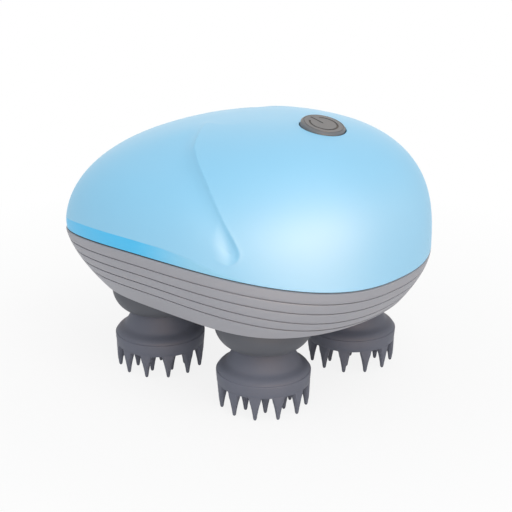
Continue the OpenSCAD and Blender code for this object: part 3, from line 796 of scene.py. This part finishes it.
@dataclass
class SideSweep:
    """The scoop on each side of the top: a step that sweeps down from the crown and hooks back.

    The side towards the nose lies deeper. The step's line starts faintly on the crown, turns down
    at a corner, grows deeper on its way to the flank and turns back above the parting line. Each
    knot holds x, y, z and the depth there.
    """

    knots: tuple[tuple[float, float, float, float], ...] = (
        (12.2, -11.2, 76.8, 0.0), (9.4, -12.7, 76.5, 0.04), (6.4, -13.9, 76.1, 0.1),
        (2.9, -14.4, 75.7, 0.13), (-0.3, -14.0, 75.5, 0.17), (-2.1, -14.0, 75.2, 0.24),
        (-1.0, -16.3, 75.0, 0.45), (2.1, -21.6, 74.1, 1.0), (4.6, -25.6, 72.9, 1.3),
        (6.6, -27.9, 72.0, 1.45), (11.7, -31.9, 69.8, 1.5), (18.1, -35.5, 66.4, 1.5),
        (23.1, -37.7, 62.5, 1.5), (27.3, -38.8, 58.2, 1.5), (30.5, -38.8, 54.4, 1.4),
        (32.2, -38.7, 51.7, 1.25), (32.4, -38.8, 50.1, 1.0), (31.9, -39.2, 48.8, 0.85),
        (30.6, -39.9, 47.8, 0.65), (29.1, -40.5, 47.7, 0.42), (27.6, -41.1, 48.1, 0.2),
        (26.3, -41.5, 48.8, 0.0),
    )
    width: float = 5.2
    reach: float = 30.0
    blend: float = 1.6
    lip: float = 0.1
    lip_w: float = 0.7
    scooped_end: Pairs = (
        (10.0, 48.0), (-20.0, 47.0), (-80.0, 44.0), (-80.0, -1.0), (12.2, -1.0),
    )
    foot_x: tuple[float, ...] = (-20.0, 10.0, 26.3)
    foot_down: tuple[float, ...] = (47.0, 48.0, 50.5)
    foot_fade: float = 14.0
    tail_x: float = 25.0
    tail_fade: float = 5.0

    def path(self, steps: int = 14) -> np.ndarray:
        """Return a smooth line through the knots, a Catmull-Rom curve, as x, y, z and depth.

        Args:
            steps: Points from each knot to the next.

        Returns:
            The line's points.
        """
        k = np.array(self.knots)
        k = np.vstack([2 * k[0] - k[1], k, 2 * k[-1] - k[-2]])
        out = []
        for a, b, c, d in zip(k, k[1:], k[2:], k[3:]):
            bend, twist = 2 * a - 5 * b + 4 * c - d, 3 * b - 3 * c + d - a
            for t in np.linspace(0.0, 1.0, steps, endpoint=False):
                out.append(0.5 * (2 * b + (c - a) * t + bend * t**2 + twist * t**3))
        return np.array(out + [k[-2]])

    @staticmethod
    def _flat(points: np.ndarray) -> np.ndarray:
        """Return points of one side laid flat, as x and the distance down from the crown's line."""
        return np.stack([points[:, 0], np.hypot(points[:, 1], FORM.height - points[:, 2])], axis=-1)

    def _scooped(self, points: np.ndarray) -> np.ndarray:
        """Return which points lie on the deeper side of the line.

        Args:
            points: Points of the side at negative y.

        Returns:
            True for each point on the deeper side.
        """
        corners = np.vstack([self._flat(self.path(4)), self.scooped_end])
        p = self._flat(points)
        inside = np.zeros(len(p), dtype=bool)
        for (x0, v0), (x1, v1) in zip(corners, np.roll(corners, -1, axis=0)):
            if v0 != v1:
                crossed = (p[:, 1] > v0) != (p[:, 1] > v1)
                inside ^= crossed & (p[:, 0] < x0 + (p[:, 1] - v0) / (v1 - v0) * (x1 - x0))
        return inside

    @staticmethod
    def _near_side(points: np.ndarray) -> np.ndarray:
        """Return the points, with those at positive y mirrored to the side at negative y."""
        return points * np.where(points[:, 1:2] > 0, np.array([[1.0, -1.0, 1.0]]), 1.0)

    def near(self, points: np.ndarray) -> np.ndarray:
        """Return each point's distance from the line, on the side that it is on."""
        side = self._near_side(points)
        return np.min([np.linalg.norm(side - spot[:3], axis=1) for spot in self.path()], axis=0)

    def sink(self, points: np.ndarray) -> np.ndarray:
        """Return how far each point of the top goes inwards.

        Args:
            points: Points of the smooth top.

        Returns:
            The distances, 0 away from the scoop.
        """
        side = self._near_side(points)
        gap = self.near(points)
        total, depth = np.zeros_like(gap), np.zeros_like(gap)
        for spot in self.path():
            weight = np.exp((gap - np.linalg.norm(side - spot[:3], axis=1)) / self.blend)
            total += weight
            depth += weight * spot[3]
        depth /= total
        x, v = self._flat(side).T
        foot = np.interp(x, self.foot_x, self.foot_down)
        before_tail = 1.0 - ease((x - self.tail_x) / self.tail_fade)
        open_end = 1.0 - before_tail * (1.0 - ease((foot - v) / self.foot_fade))
        down = np.clip(gap / self.width, 0.0, 1.0)
        step = down * (2.0 - down) * (1.0 - ease((gap - self.width) / self.reach)) * open_end
        ridge = -self.lip * np.exp(-((gap / self.lip_w) ** 2)) * np.clip(depth, 0.0, 1.0)
        return np.where(self._scooped(side), depth * step + ridge, ridge)


@dataclass
class TopShell:
    """The blue top: domed, with side sweeps, a lower edge strip painted saturated blue as shade that fades
    out into a paler painted sheen, and the openings.

    The two stops say how near the rings go to the crown, in degrees of a quarter turn.
    """

    around: int = 360
    rows: int = 100
    edge_rows: int = 4
    inner_rows: int = 14
    crown_stop: float = 89.6
    inner_stop: float = 89.5
    wall: float = 2.0
    lift: float = 0.2
    edge_x: tuple[float, ...] = (-56.0, -37.0, -26.0, 10.0, 18.0, 27.0, 34.0)
    edge_high: tuple[float, ...] = (3.0, 3.5, 3.9, 3.8, 3.1, 1.2, 0.4)
    tuck: float = 0.35
    tuck_power: float = 1.5
    scoop_low: float = 46.0
    fine_reach: float = 3.6
    fine_cuts: int = 2
    least_sink: float = 1e-4
    button_hole_r: float = 6.6
    button_cut: tuple[float, float] = (-6.0, 6.0)
    socket_hole_r: float = 3.05
    socket_cut: tuple[float, float] = (-4.0, 6.0)
    sweep: SideSweep = field(default_factory=SideSweep)

    def _edge(self, turn: np.ndarray) -> np.ndarray:
        """Return the height of the edge strip painted in saturated blue as shade, up to where it has faded
        out.
        """
        return np.interp(FORM.foot_x(0.0, turn), self.edge_x, self.edge_high)

    def _rings(self) -> np.ndarray:
        """Lay out the shell's rings.

        Returns:
            The rings, from the inside's crown down, round the edge and up to the outside's crown.
        """
        turn = angles_round(self.around)
        zero = np.zeros_like(turn)
        inner = []
        for i in range(self.inner_rows, -1, -1):
            share = zero + math.sin(math.radians(self.inner_stop * i / self.inner_rows))
            inner.append(FORM.top(share, self.wall, self.lift, turn))
        high = self._edge(turn)
        edge = high / (FORM.height - FORM.parting(FORM.foot_x(0.0, turn)))
        outer = []
        for i in range(self.edge_rows + 1):
            t = i / self.edge_rows
            inset = self.tuck * (1.0 - t) ** self.tuck_power * high / max(self.edge_high)
            outer.append(FORM.top(edge * t, inset, self.lift, turn))
        for i in range(1, self.rows + 1):
            share = edge + (1.0 - edge) * math.sin(math.radians(self.crown_stop * i / self.rows))
            outer.append(FORM.top(share, 0.0, self.lift, turn))
        return np.array(inner + outer)

    def _scoop(self, bm: Shape) -> None:
        """Press the scoops into both sides, on a mesh made finer along their lines.

        Args:
            bm: The smooth shell.
        """
        bm.normal_update()
        middle = Vector((FORM.heads_x, 0.0, FORM.parting_height))
        outer = [f for f in bm.faces if f.normal.dot(f.calc_center_median() - middle) > 0]
        gaps = self.sweep.near(np.array([f.calc_center_median()[:] for f in outer]))
        edges = {e for f, gap in zip(outer, gaps) if gap < self.fine_reach for e in f.edges}
        bmesh.ops.subdivide_edges(bm, edges=list(edges), cuts=self.fine_cuts, use_grid_fill=True)
        bm.normal_update()
        verts = [v for v in bm.verts if v.normal.dot(v.co - middle) > 0 and v.co.z > self.scoop_low]
        for vert, sink in zip(verts, self.sweep.sink(np.array([v.co[:] for v in verts]))):
            if abs(sink) > self.least_sink:
                vert.co -= vert.normal * float(sink)

    def build(self, shop: Workshop) -> None:
        """Make the shell.

        Args:
            shop: Where pieces are made.
        """
        bm = stack_rings(self._rings(), closed=False, poles=(True, True))
        row_of = bm.faces.layers.int["row"]
        first = self.inner_rows + 1
        # Faces of the lower edge strip, short of the tail, take the edge finish of painted shade and sheen.
        for face in bm.faces:
            strip = first <= face[row_of] < first + self.edge_rows
            face.material_index = 1 if strip and face.calc_center_median().x < self.edge_x[-1] else 0
        self._scoop(bm)
        button_hole = rod(self.button_hole_r, *self.button_cut, segments=96)
        socket_hole = rod(self.socket_hole_r, *self.socket_cut)
        cutters = (moved(button_hole, LAYOUT.button()), moved(socket_hole, LAYOUT.nose_bore(-FORM.half)))
        shop.finish_piece(
            "shell", bm, (Finishes.SHELL, Finishes.SHELL_EDGE_SHADE_AND_SHEEN), Body.CASE.value, ("top_shell",),
            cutters=cutters, crease=40.0,
        )


@dataclass
class LowerCasing:
    """The grey lower casing: lapped bands down its sides, a flat underside with four head openings."""

    around: int = 288
    wall: float = 2.0
    drop: float = 0.2
    upper_inset: float = 0.3
    upper_share: float = 0.012
    band_steps: tuple[float, ...] = (0.0, 0.35, 0.7, 1.0)
    groove: float = 0.4
    groove_round: float = 0.14
    edge_share: float = 0.9
    soft_share: float = 0.3
    soft_inset: float = 0.04
    line: float = 0.36
    line_shares: tuple[float, ...] = (0.175, 0.342, 0.508, 0.68)
    tail_rises: tuple[float, ...] = (0.085, 0.172, 0.272, 0.28)
    tail_power: int = 8
    under_insets: tuple[float, ...] = (0.35, 0.9, 2.0)
    inner_rows: int = 8
    head_hole_r: float = 14.05
    lip_r: float = 14.55
    lip_t: float = 1.0
    well_r: float = 2.2
    well_top: float = 34.0
    pillar_r: float = 3.2
    pillar_low: float = 26.4
    screw_r: float = 1.15
    past: float = 2.0

    def _line_shares(self, turn: np.ndarray) -> list[np.ndarray]:
        """Return the share of the wall at each groove, wider apart round the tail."""
        back = (FORM.foot_x(0.0, turn) / FORM.length + 0.5) ** self.tail_power
        return [share + rise * back for share, rise in zip(self.line_shares, self.tail_rises)]

    def _rings(self) -> np.ndarray:
        """Lay out the casing's rings.

        Returns:
            The rings, from the deck up inside, over the edge and down the bands.
        """
        turn = angles_round(self.around)
        zero, one = np.zeros_like(turn), np.ones_like(turn)

        def outside(share: np.ndarray, inset: float) -> np.ndarray:
            """Return the points of one ring of the outside."""
            return FORM.casing(share, inset, self.drop, FORM.rim_height, turn)

        inner = [
            FORM.casing(one * i / self.inner_rows, self.wall, self.drop, FORM.deck_height, turn)
            for i in range(self.inner_rows, -1, -1)
        ]
        half = self.line / 2 / (FORM.parting_height - FORM.rim_height)
        edge = half * self.edge_share
        lead = half + edge * self.soft_share
        across = (
            (-lead, self.soft_inset), (-half, self.groove_round), (-half, self.groove),
            (half, self.groove), (half, self.groove_round), (lead, self.soft_inset),
        )
        outer = [outside(zero, self.upper_inset)]
        start = zero + self.upper_share
        for share in self._line_shares(turn):
            end = share - half - edge
            outer += [outside(start + (end - start) * t, 0.0) for t in self.band_steps]
            outer += [outside(share + step, inset) for step, inset in across]
            start = share + half + edge
        outer += [outside(start + (one - start) * t, 0.0) for t in self.band_steps]
        under = [outside(one, inset) for inset in self.under_insets]
        return np.array(inner + outer + under)

    def _pillar(self, place: Matrix) -> Shape:
        """Make one screw pillar with its well.

        Args:
            place: Where it stands.

        Returns:
            The pillar.
        """
        top = float(FORM.parting(place.translation.x)) - self.drop
        tube = [
            (self.well_r, self.pillar_low), (self.well_r, self.well_top), (self.screw_r, self.well_top),
            (self.screw_r, top), (self.pillar_r, top), (self.pillar_r, self.pillar_low),
            (self.well_r, self.pillar_low),
        ]
        return moved(lathe(tube, segments=48), place)

    def build(self, shop: Workshop) -> None:
        """Make the casing.

        Args:
            shop: Where pieces are made.
        """
        low, high = FORM.rim_height - self.past, FORM.deck_height + self.past
        lip_low = FORM.deck_height - self.lip_t
        heads = LAYOUT.heads()
        wells = [Matrix.Translation((x, y, 0.0)) for x, y in LAYOUT.pillars]
        cutters = [moved(rod(self.head_hole_r, low, high, segments=96), place) for place in heads]
        cutters += [moved(rod(self.lip_r, lip_low, high, segments=96), place) for place in heads]
        cutters += [moved(rod(self.well_r, low, high, segments=48), place) for place in wells]
        shop.finish_piece(
            "casing", stack_rings(self._rings(), closed=False), Finishes.CASING, Body.CASE.value,
            ("lower_casing",), cutters=cutters, crease=28.0,
        )
        first, *others = (self._pillar(place) for place in wells)
        shop.finish_piece(
            "casing_pillars", joined(first, others), Finishes.CASING, Body.CASE.value,
            crease=28.0,
        )


@dataclass
class SeamGasket:
    """The thin dark gasket in the parting line."""

    around: int = 288
    inset: float = 0.45
    wall: float = 2.0
    half: float = 0.19

    def build(self, shop: Workshop) -> None:
        """Make the gasket.

        Args:
            shop: Where pieces are made.
        """
        turn = angles_round(self.around)
        out, back, half = self.inset, self.wall, self.half
        corners = ((out, -half), (out, half), (back, half), (back, -half))
        rings = np.array([FORM.top(np.zeros_like(turn), inset, lift, turn) for inset, lift in corners])
        shop.finish_piece(
            "seam_gasket", stack_rings(rings, closed=True), Finishes.GASKET, Body.CASE.value,
            ("parting_gasket",),
        )


@dataclass
class PowerButton:
    """The round grey button with its bevelled face and engraved power symbol.

    The rim's points are distances in from the button's edge and down from its face.
    """

    radius: float = 6.3
    rim: Pairs = (
        (0.0, 0.65), (0.05, 0.5), (0.4, 0.15), (0.52, 0.1), (0.62, 0.08),
        (0.68, 0.2), (0.86, 0.2), (0.93, 0.04),
    )
    dish: float = 0.02
    flange_r: float = 7.5
    flange_low: float = -4.9
    flange_top: float = -3.9
    flange_round: float = 0.15
    stem_r: float = 2.0
    stem_low: float = -8.4
    icon_r: float = 3.9
    icon_w: float = 0.56
    icon_depth: float = 0.3
    icon_gap: float = 62.0
    stroke_l: float = 4.5
    stroke_start: float = 0.2
    cut_past: float = 0.6
    inlay_t: float = 0.14
    inlay_sunk: float = 0.02

    def _symbol(self, low: float, high: float, width: float) -> list[Shape]:
        """Make the power symbol.

        Args:
            low: Height of its lower face.
            high: Height of its upper face.
            width: Width of its lines.

        Returns:
            The ring, open towards the nose, and the straight line through the opening.
        """
        r0, r1 = self.icon_r - width / 2, self.icon_r + width / 2
        section = [(r0, low), (r1, low), (r1, high), (r0, high)]
        ring = lathe(section, segments=64, angle=FULL_TURN - self.icon_gap)
        stroke = bmesh.new()
        bmesh.ops.create_cube(stroke, size=1.0)
        bmesh.ops.scale(stroke, vec=(self.stroke_l, width, high - low), verts=stroke.verts)
        middle = (-self.stroke_l / 2 - self.stroke_start, 0.0, (low + high) / 2)
        bmesh.ops.translate(stroke, vec=middle, verts=stroke.verts)
        return [moved(ring, Matrix.Rotation(math.radians((FULL_TURN + self.icon_gap) / 2), 4, "Z")), stroke]

    def build(self, shop: Workshop) -> None:
        """Make the cap and its symbol.

        Args:
            shop: Where pieces are made.
        """
        r, f, top, place = self.radius, self.flange_r, LAYOUT.button_proud, LAYOUT.button()
        cap = [
            (0.0, self.stem_low), (self.stem_r, self.stem_low), (self.stem_r, self.flange_low),
            (f - self.flange_round, self.flange_low), (f, self.flange_low + self.flange_round),
            (f, self.flange_top - self.flange_round), (f - self.flange_round, self.flange_top),
            (r, self.flange_top), *((r - inside, top - down) for inside, down in self.rim),
            (0.0, top - self.dish),
        ]
        floor = top - self.icon_depth
        cutters = [moved(part, place) for part in self._symbol(floor, top + self.cut_past, self.icon_w)]
        shop.finish_piece(
            "button_cap", lathe(cap), Finishes.BUTTON, Body.BUTTON.value, ("power_button",),
            place, crease=24.0, cutters=cutters,
        )
        low = floor - self.inlay_sunk
        ring, stroke = self._symbol(low, low + self.inlay_t, self.icon_w - self.inlay_sunk)
        shop.finish_piece(
            "button_symbol", joined(ring, [stroke]), Finishes.SYMBOL, Body.BUTTON.value,
            place=place,
        )


@dataclass
class Collar:
    """A fixed collar under the casing, bowled in towards the turning pad."""

    radius: float = 14.0
    bowl_w: float = 6.0
    bowl_h: float = 7.2
    bowl_z: float = 25.0
    low_z: float = 18.2
    wall: float = 1.8
    boss_r: float = 6.0
    boss_top: float = 25.6
    seal_r: float = 4.7
    seal_z: float = 18.5
    bush_r: float = 4.0
    bush_z: float = 21.1
    shaft_hole_r: float = 2.8
    lip: float = 0.5
    lip_t: float = 1.0
    mouth: Pairs = ((-0.7, 0.0), (-0.25, 0.05), (0.15, 0.2))
    steps: int = 18

    def _bowl(self, low: float, inset: float) -> list[tuple[float, float]]:
        """Return the bowl's curve from its lower end up, a quarter of an ellipse cut short.

        Args:
            low: Height of its lower end.
            inset: Distance inside the outer surface.

        Returns:
            Points of radius and height.
        """
        end = math.asin((self.bowl_z - low) / self.bowl_h)
        turns = (end * (1.0 - k / self.steps) for k in range(self.steps + 1))
        return [
            (self.radius - inset - self.bowl_w * (1.0 - math.cos(a)), self.bowl_z - self.bowl_h * math.sin(a))
            for a in turns
        ]

    def _profile(self) -> list[tuple[float, float]]:
        """Draw the collar's section.

        Returns:
            Points of radius and height, as a loop.
        """
        deck = FORM.deck_height
        floor = self.low_z + self.wall
        (tip_r, tip_z), *outside = self._bowl(self.low_z, 0.0)
        return [
            (self.shaft_hole_r, tip_z), *((tip_r + out, tip_z + up) for out, up in self.mouth), *outside,
            (self.radius, deck - self.lip_t), (self.radius + self.lip, deck - self.lip_t),
            (self.radius + self.lip, deck), (self.radius - self.wall, deck),
            *reversed(self._bowl(floor, self.wall)), (self.boss_r, floor),
            (self.boss_r, self.boss_top), (self.bush_r, self.boss_top), (self.bush_r, self.bush_z),
            (self.seal_r, self.bush_z), (self.seal_r, self.seal_z), (self.shaft_hole_r, self.seal_z),
            (self.shaft_hole_r, tip_z),
        ]

    def build(self, shop: Workshop, number: int, place: Matrix) -> None:
        """Make one collar.

        Args:
            shop: Where pieces are made.
            number: The head's number.
            place: Where it goes.
        """
        shop.finish_piece(
            f"collar_shell_{number}", lathe(self._profile()), Finishes.COLLAR, Body.CASE.value,
            (f"collar_{number}",), place, crease=30.0,
        )


@dataclass
class MassagePad:
    """A soft silicone pad: a band round its edge, a rounded shoulder, a neck, and pointed teeth below.

    The band's and the shoulder's points are a distance in from the pad's edge and a height. The
    tooth's points are a radius and a height, from its tip up.
    """

    radius: float = 13.4
    band: Pairs = (
        (0.6, 6.9), (0.35, 6.96), (0.22, 7.15), (0.1, 8.6), (0.0, 10.2), (0.02, 10.42), (0.12, 10.56),
        (0.3, 10.62),
    )
    shoulder: Pairs = (
        (0.34, 10.8), (0.5, 11.1), (0.75, 11.44), (1.1, 11.78), (1.6, 12.1), (2.15, 12.38), (2.65, 12.7),
        (3.05, 13.15), (3.42, 13.8), (3.9, 14.7), (4.4, 15.6), (4.88, 16.5), (5.25, 17.3), (5.6, 17.7),
    )
    tooth: Pairs = (
        (0.0, 0.0), (0.2, 0.02), (0.34, 0.12), (0.46, 0.35), (0.55, 0.8), (0.63, 1.45), (0.78, 2.3),
        (0.95, 3.2), (1.25, 4.55), (1.48, 5.3), (1.63, 6.0), (1.72, 6.5), (1.86, 6.85), (2.0, 6.95),
        (2.0, 7.2), (0.0, 7.2),
    )
    tooth_length: float = 7.0
    edge_teeth: int = 12
    edge_ring_r: float = 12.3
    edge_margin: float = 0.2
    edge_lean: float = 0.02
    inner_teeth: int = 8
    inner_ring_r: float = 7.6
    hub_r: float = 8.25
    hub_low: float = 7.55
    hub_top: float = 8.65
    stem_r: float = 4.25

    def _body(self) -> Shape:
        """Make the pad without its teeth.

        Returns:
            The pad, with the hub's cavity inside.
        """
        side = [(self.radius - inside, z) for inside, z in self.band + self.shoulder]
        (_, low), (_, neck_top) = side[0], side[-1]
        cavity = [(self.stem_r, self.hub_top), (self.hub_r, self.hub_top), (self.hub_r, self.hub_low)]
        return lathe([(0.0, low), *side, (self.stem_r, neck_top), *cavity, (0.0, self.hub_low)], segments=120)

    def _teeth(self, count: int, reach: float) -> list[Shape]:
        """Make a ring of teeth.

        Args:
            count: How many.
            reach: Distance of their tips from the middle.

        Returns:
            The teeth, the first one towards X.
        """
        out = Matrix.Translation((reach, 0, 0))
        turns = (Matrix.Rotation(math.tau * k / count, 4, "Z") for k in range(count))
        return [moved(lathe(self.tooth, segments=24), turn @ out) for turn in turns]

    def _trim(self, tooth: Shape) -> Shape:
        """Press a tooth in where it would stand past the pad's edge.

        Args:
            tooth: The tooth in its place.

        Returns:
            The same tooth.
        """
        for vert in tooth.verts:
            out = math.hypot(vert.co.x, vert.co.y)
            limit = self.radius - self.edge_margin - self.edge_lean * max(0.0, self.tooth_length - vert.co.z)
            if out > limit:
                vert.co.x *= limit / out
                vert.co.y *= limit / out
        return tooth

    def build(self, shop: Workshop, number: int, place: Matrix) -> None:
        """Make one pad.

        Args:
            shop: Where pieces are made.
            number: The head's number.
            place: Where it goes, with its turn.
        """
        teeth = [self._trim(tooth) for tooth in self._teeth(self.edge_teeth, self.edge_ring_r)]
        teeth += self._teeth(self.inner_teeth, self.inner_ring_r) + self._teeth(1, 0.0)
        shop.finish_piece(
            f"soft_pad_{number}", joined(self._body(), teeth), Finishes.PAD, f"head_{number}",
            (f"head_pad_{number}",), place, crease=38.0,
        )


@dataclass
class ChargingSocket:
    """The round charging socket in the nose, with a bevelled mouth."""

    radius: float = 3.0
    rim_round: float = 0.3
    hole_r: float = 1.3
    mouth: float = 0.35
    mouth_x: float = -54.1
    depth: float = 8.0
    back: float = 1.5
    flange_r: float = 4.2
    flange_t: float = 1.2
    seat_x: float = -51.5

    def build(self, shop: Workshop) -> None:
        """Make the socket.

        Args:
            shop: Where pieces are made.
        """
        r, h = self.radius, self.hole_r
        length = self.depth + self.back
        seat = self.seat_x - self.mouth_x
        profile = [
            (0.0, self.depth), (h, self.depth), (h, self.mouth), (h + self.mouth, 0.0),
            (r - self.rim_round, 0.0), (r, self.rim_round), (r, seat), (self.flange_r, seat),
            (self.flange_r, seat + self.flange_t), (r, seat + self.flange_t), (r, length), (0.0, length),
        ]
        shop.finish_piece(
            "socket", lathe(profile, segments=64), Finishes.BLACK, Body.CASE.value,
            ("charging_socket",), LAYOUT.nose_bore(self.mouth_x),
        )


class InnerWorks:
    """The CAD nodes that stay as they are: gears, motor, battery, board and screws."""

    def dress(self, shop: Workshop) -> None:
        """Give each carried-over node the finish of its slot.

        Args:
            shop: Where pieces are made.
        """
        slots = {part["node"]: part["material_slot"] for part in frame["record"]["subparts"]}
        for name, obj in frame["nodes"].items():
            obj.data.materials.clear()
            obj.data.materials.append(shop.finishes.get(Finishes.BY_SLOT[slots[name]]))
        LOG.info("dressed %d carried-over nodes", len(frame["nodes"]))


# ---------------------------------------------------------------- the studio


def towards(azimuth: float, elevation: float) -> Vector:
    """Return the direction out from the object.

    Args:
        azimuth: Degrees round it, 0 on the side of negative Y and 90 at the tail.
        elevation: Degrees above the floor.

    Returns:
        The direction, of length 1.
    """
    a, e = math.radians(azimuth), math.radians(elevation)
    return Vector((math.sin(a) * math.cos(e), -math.cos(a) * math.cos(e), math.sin(e)))


@dataclass(frozen=True)
class Lamp:
    """An oval soft lamp that faces the object, or a warm card that adds gloss and no diffuse light.

    Lengths are metres here, because the studio is as large as a table.
    """

    name: str
    azimuth: float
    elevation: float
    far: float
    size: tuple[float, float]
    watts: float
    card: bool = False

    AIM: ClassVar[tuple[float, float, float]] = (0.0, 0.0, 0.04)
    WHITE: ClassVar[Colour] = (1.0, 1.0, 1.0)
    WARM: ClassVar[Colour] = (1.0, 0.6, 0.3)

    def hang(self) -> None:
        """Make the lamp and turn it to the object."""
        data = bpy.data.lights.new(self.name, "AREA")
        data.shape, data.energy = "ELLIPSE", self.watts
        data.size, data.size_y = self.size
        data.color = self.WARM if self.card else self.WHITE
        lamp = add_object(self.name, data)
        back = towards(self.azimuth, self.elevation)
        lamp.location = Vector(self.AIM) + back * self.far
        lamp.rotation_mode = "QUATERNION"
        lamp.rotation_quaternion = (-back).to_track_quat("-Z", "Y")
        lamp.visible_diffuse = not self.card


@dataclass
class Studio:
    """A pale floor, soft lamps and the camera.

    The camera's distance and target are millimetres. The floor, its glow's reach and the clip
    distances are metres.
    """

    azimuth: float = 40.86
    elevation: float = 20.08
    roll: float = 0.30
    distance: float = 370.44
    target: tuple[float, float, float] = (4.67, -0.12, 33.22)
    focal_px: float = 1245.88
    frame_px: float = 512.0
    sensor: float = 36.0
    clip: tuple[float, float] = (0.01, 20.0)
    world_light: float = 0.585
    floor_r: float = 3.0
    floor_grey: float = 0.9
    floor_rough: float = 0.9
    floor_specular: float = 0.1
    glow_reach: tuple[float, float] = (0.08, 0.18)
    glow_share: tuple[float, float] = (0.86, 1.0)
    lamps: tuple[Lamp, ...] = (
        Lamp("sheen_card", 60.0, 9.0, 0.8, (1.4, 0.34), 15.0, card=True),
        Lamp("side_card", 118.0, 9.0, 0.8, (1.0, 0.34), 0.8, card=True),
        Lamp("back_card", 222.0, 16.0, 0.8, (0.9, 0.9), 2.0, card=True),
        Lamp("key_lamp", 70.0, 55.0, 1.0, (0.6, 0.6), 2.1),
        Lamp("front_lamp", 36.0, 4.0, 1.0, (0.6, 0.6), 2.0),
        Lamp("top_lamp", 10.0, 86.0, 0.9, (0.9, 0.9), 0.9),
    )

    def _axes(self) -> tuple[Vector, Vector, Vector]:
        """Work out how the camera is turned.

        Returns:
            Its right, up and back directions.
        """
        a, r = math.radians(self.azimuth), math.radians(self.roll)
        back = towards(self.azimuth, self.elevation)
        right = Vector((math.cos(a), math.sin(a), 0.0))
        up = back.cross(right)
        return right * math.cos(r) + up * math.sin(r), up * math.cos(r) - right * math.sin(r), back

    def _place_camera(self) -> None:
        """Make the camera and set it in the scene."""
        right, up, back = self._axes()
        data = bpy.data.cameras.new("camera")
        data.sensor_width = self.sensor
        data.lens = self.focal_px / self.frame_px * self.sensor
        data.clip_start, data.clip_end = self.clip
        camera = add_object("camera", data)
        turn = Matrix((right, up, back)).transposed().to_4x4()
        camera.matrix_world = Matrix.Translation((Vector(self.target) + back * self.distance) * MM) @ turn
        bpy.context.scene.camera = camera

    @staticmethod
    def _background_rays(tree: Tree) -> Socket:
        """Add the mark of the rays that see the plain background.

        Args:
            tree: The material's or the world's nodes.

        Returns:
            The socket that is 1 for camera, glossy and transmission rays, and 0 for the others.
        """
        path = add_node(tree, "LightPath")
        seen = path.outputs["Is Camera Ray"]
        for kind in ("Is Glossy Ray", "Is Transmission Ray"):
            both = add_node(tree, "Math", {0: seen, 1: path.outputs[kind]}, operation="ADD", use_clamp=True)
            seen = both.outputs[0]
        return seen

    def _white_world(self) -> None:
        """Fill the surroundings with soft white, seen plain white as a background."""
        world = bpy.data.worlds.new("studio")
        world.use_nodes = True
        tree = world.node_tree
        white = (*Lamp.WHITE, 1.0)
        soft = tree.nodes["Background"]
        fill_inputs(tree, soft, {"Color": white, "Strength": self.world_light})
        plain = add_node(tree, "Background", {"Color": white, "Strength": 1.0})
        mix = add_node(tree, "MixShader", {
            "Fac": self._background_rays(tree), 1: soft.outputs[0], 2: plain.outputs[0],
        })
        fill_inputs(tree, tree.nodes["World Output"], {"Surface": mix.outputs[0]})
        bpy.context.scene.world = world

    def _floor_white(self) -> bpy.types.Material:
        """Make the floor's material: shaded near the object, plain white further off, clear from below.

        Returns:
            The material.
        """
        material = bpy.data.materials.new("floor_white")
        material.use_nodes = True
        tree = material.node_tree
        shader = tree.nodes["Principled BSDF"]
        grey = (self.floor_grey,) * 3
        fill_inputs(tree, shader, {
            "Base Color": (*grey, 1.0), "Roughness": self.floor_rough,
            "Specular IOR Level": self.floor_specular,
        })
        glow = add_node(tree, "Emission", {"Color": (*Lamp.WHITE, 1.0)})
        place = add_node(tree, "TexCoord").outputs["Object"]
        far = add_node(tree, "VectorMath", {0: place}, operation="LENGTH").outputs["Value"]
        rise = add_node(tree, "MapRange", {
            "Value": far, "From Min": self.glow_reach[0], "From Max": self.glow_reach[1],
            "To Min": self.glow_share[0], "To Max": self.glow_share[1],
        })
        share = add_node(
            tree, "Math", {0: self._background_rays(tree), 1: rise.outputs["Result"]}, operation="MULTIPLY"
        )
        top = add_node(tree, "MixShader", {"Fac": share.outputs[0], 1: shader.outputs[0], 2: glow.outputs[0]})
        both = add_node(tree, "MixShader", {
            "Fac": add_node(tree, "NewGeometry").outputs["Backfacing"], 1: top.outputs[0],
            2: add_node(tree, "BsdfTransparent").outputs[0],
        })
        fill_inputs(tree, tree.nodes["Material Output"], {"Surface": both.outputs[0]})
        return material

    def _lay_floor(self) -> None:
        """Lay the pale floor under the teeth."""
        bm = bmesh.new()
        bmesh.ops.create_circle(bm, cap_ends=True, segments=96, radius=self.floor_r)
        mesh = mesh_of("floor", bm)
        mesh.materials.append(self._floor_white())
        floor = add_object("floor", mesh)

    def build(self) -> None:
        """Set up the floor, the light and the camera."""
        self._white_world()
        self._lay_floor()
        for lamp in self.lamps:
            lamp.hang()
        self._place_camera()
        bpy.context.scene.view_settings.view_transform = "Standard"


def main() -> None:
    """Build the massager's looks and the studio."""
    logging.basicConfig(level=logging.INFO, format="%(name)s: %(message)s")
    shop = Workshop(Finishes())
    InnerWorks().dress(shop)
    for part in (TopShell(), LowerCasing(), SeamGasket(), PowerButton(), ChargingSocket()):
        part.build(shop)
    for number, (place, turn) in enumerate(zip(LAYOUT.heads(), LAYOUT.pad_turns), start=1):
        Collar().build(shop, number, place)
        MassagePad().build(shop, number, place @ Matrix.Rotation(math.radians(turn), 4, "Z"))
    Studio().build()


if __name__ == "__main__":
    main()
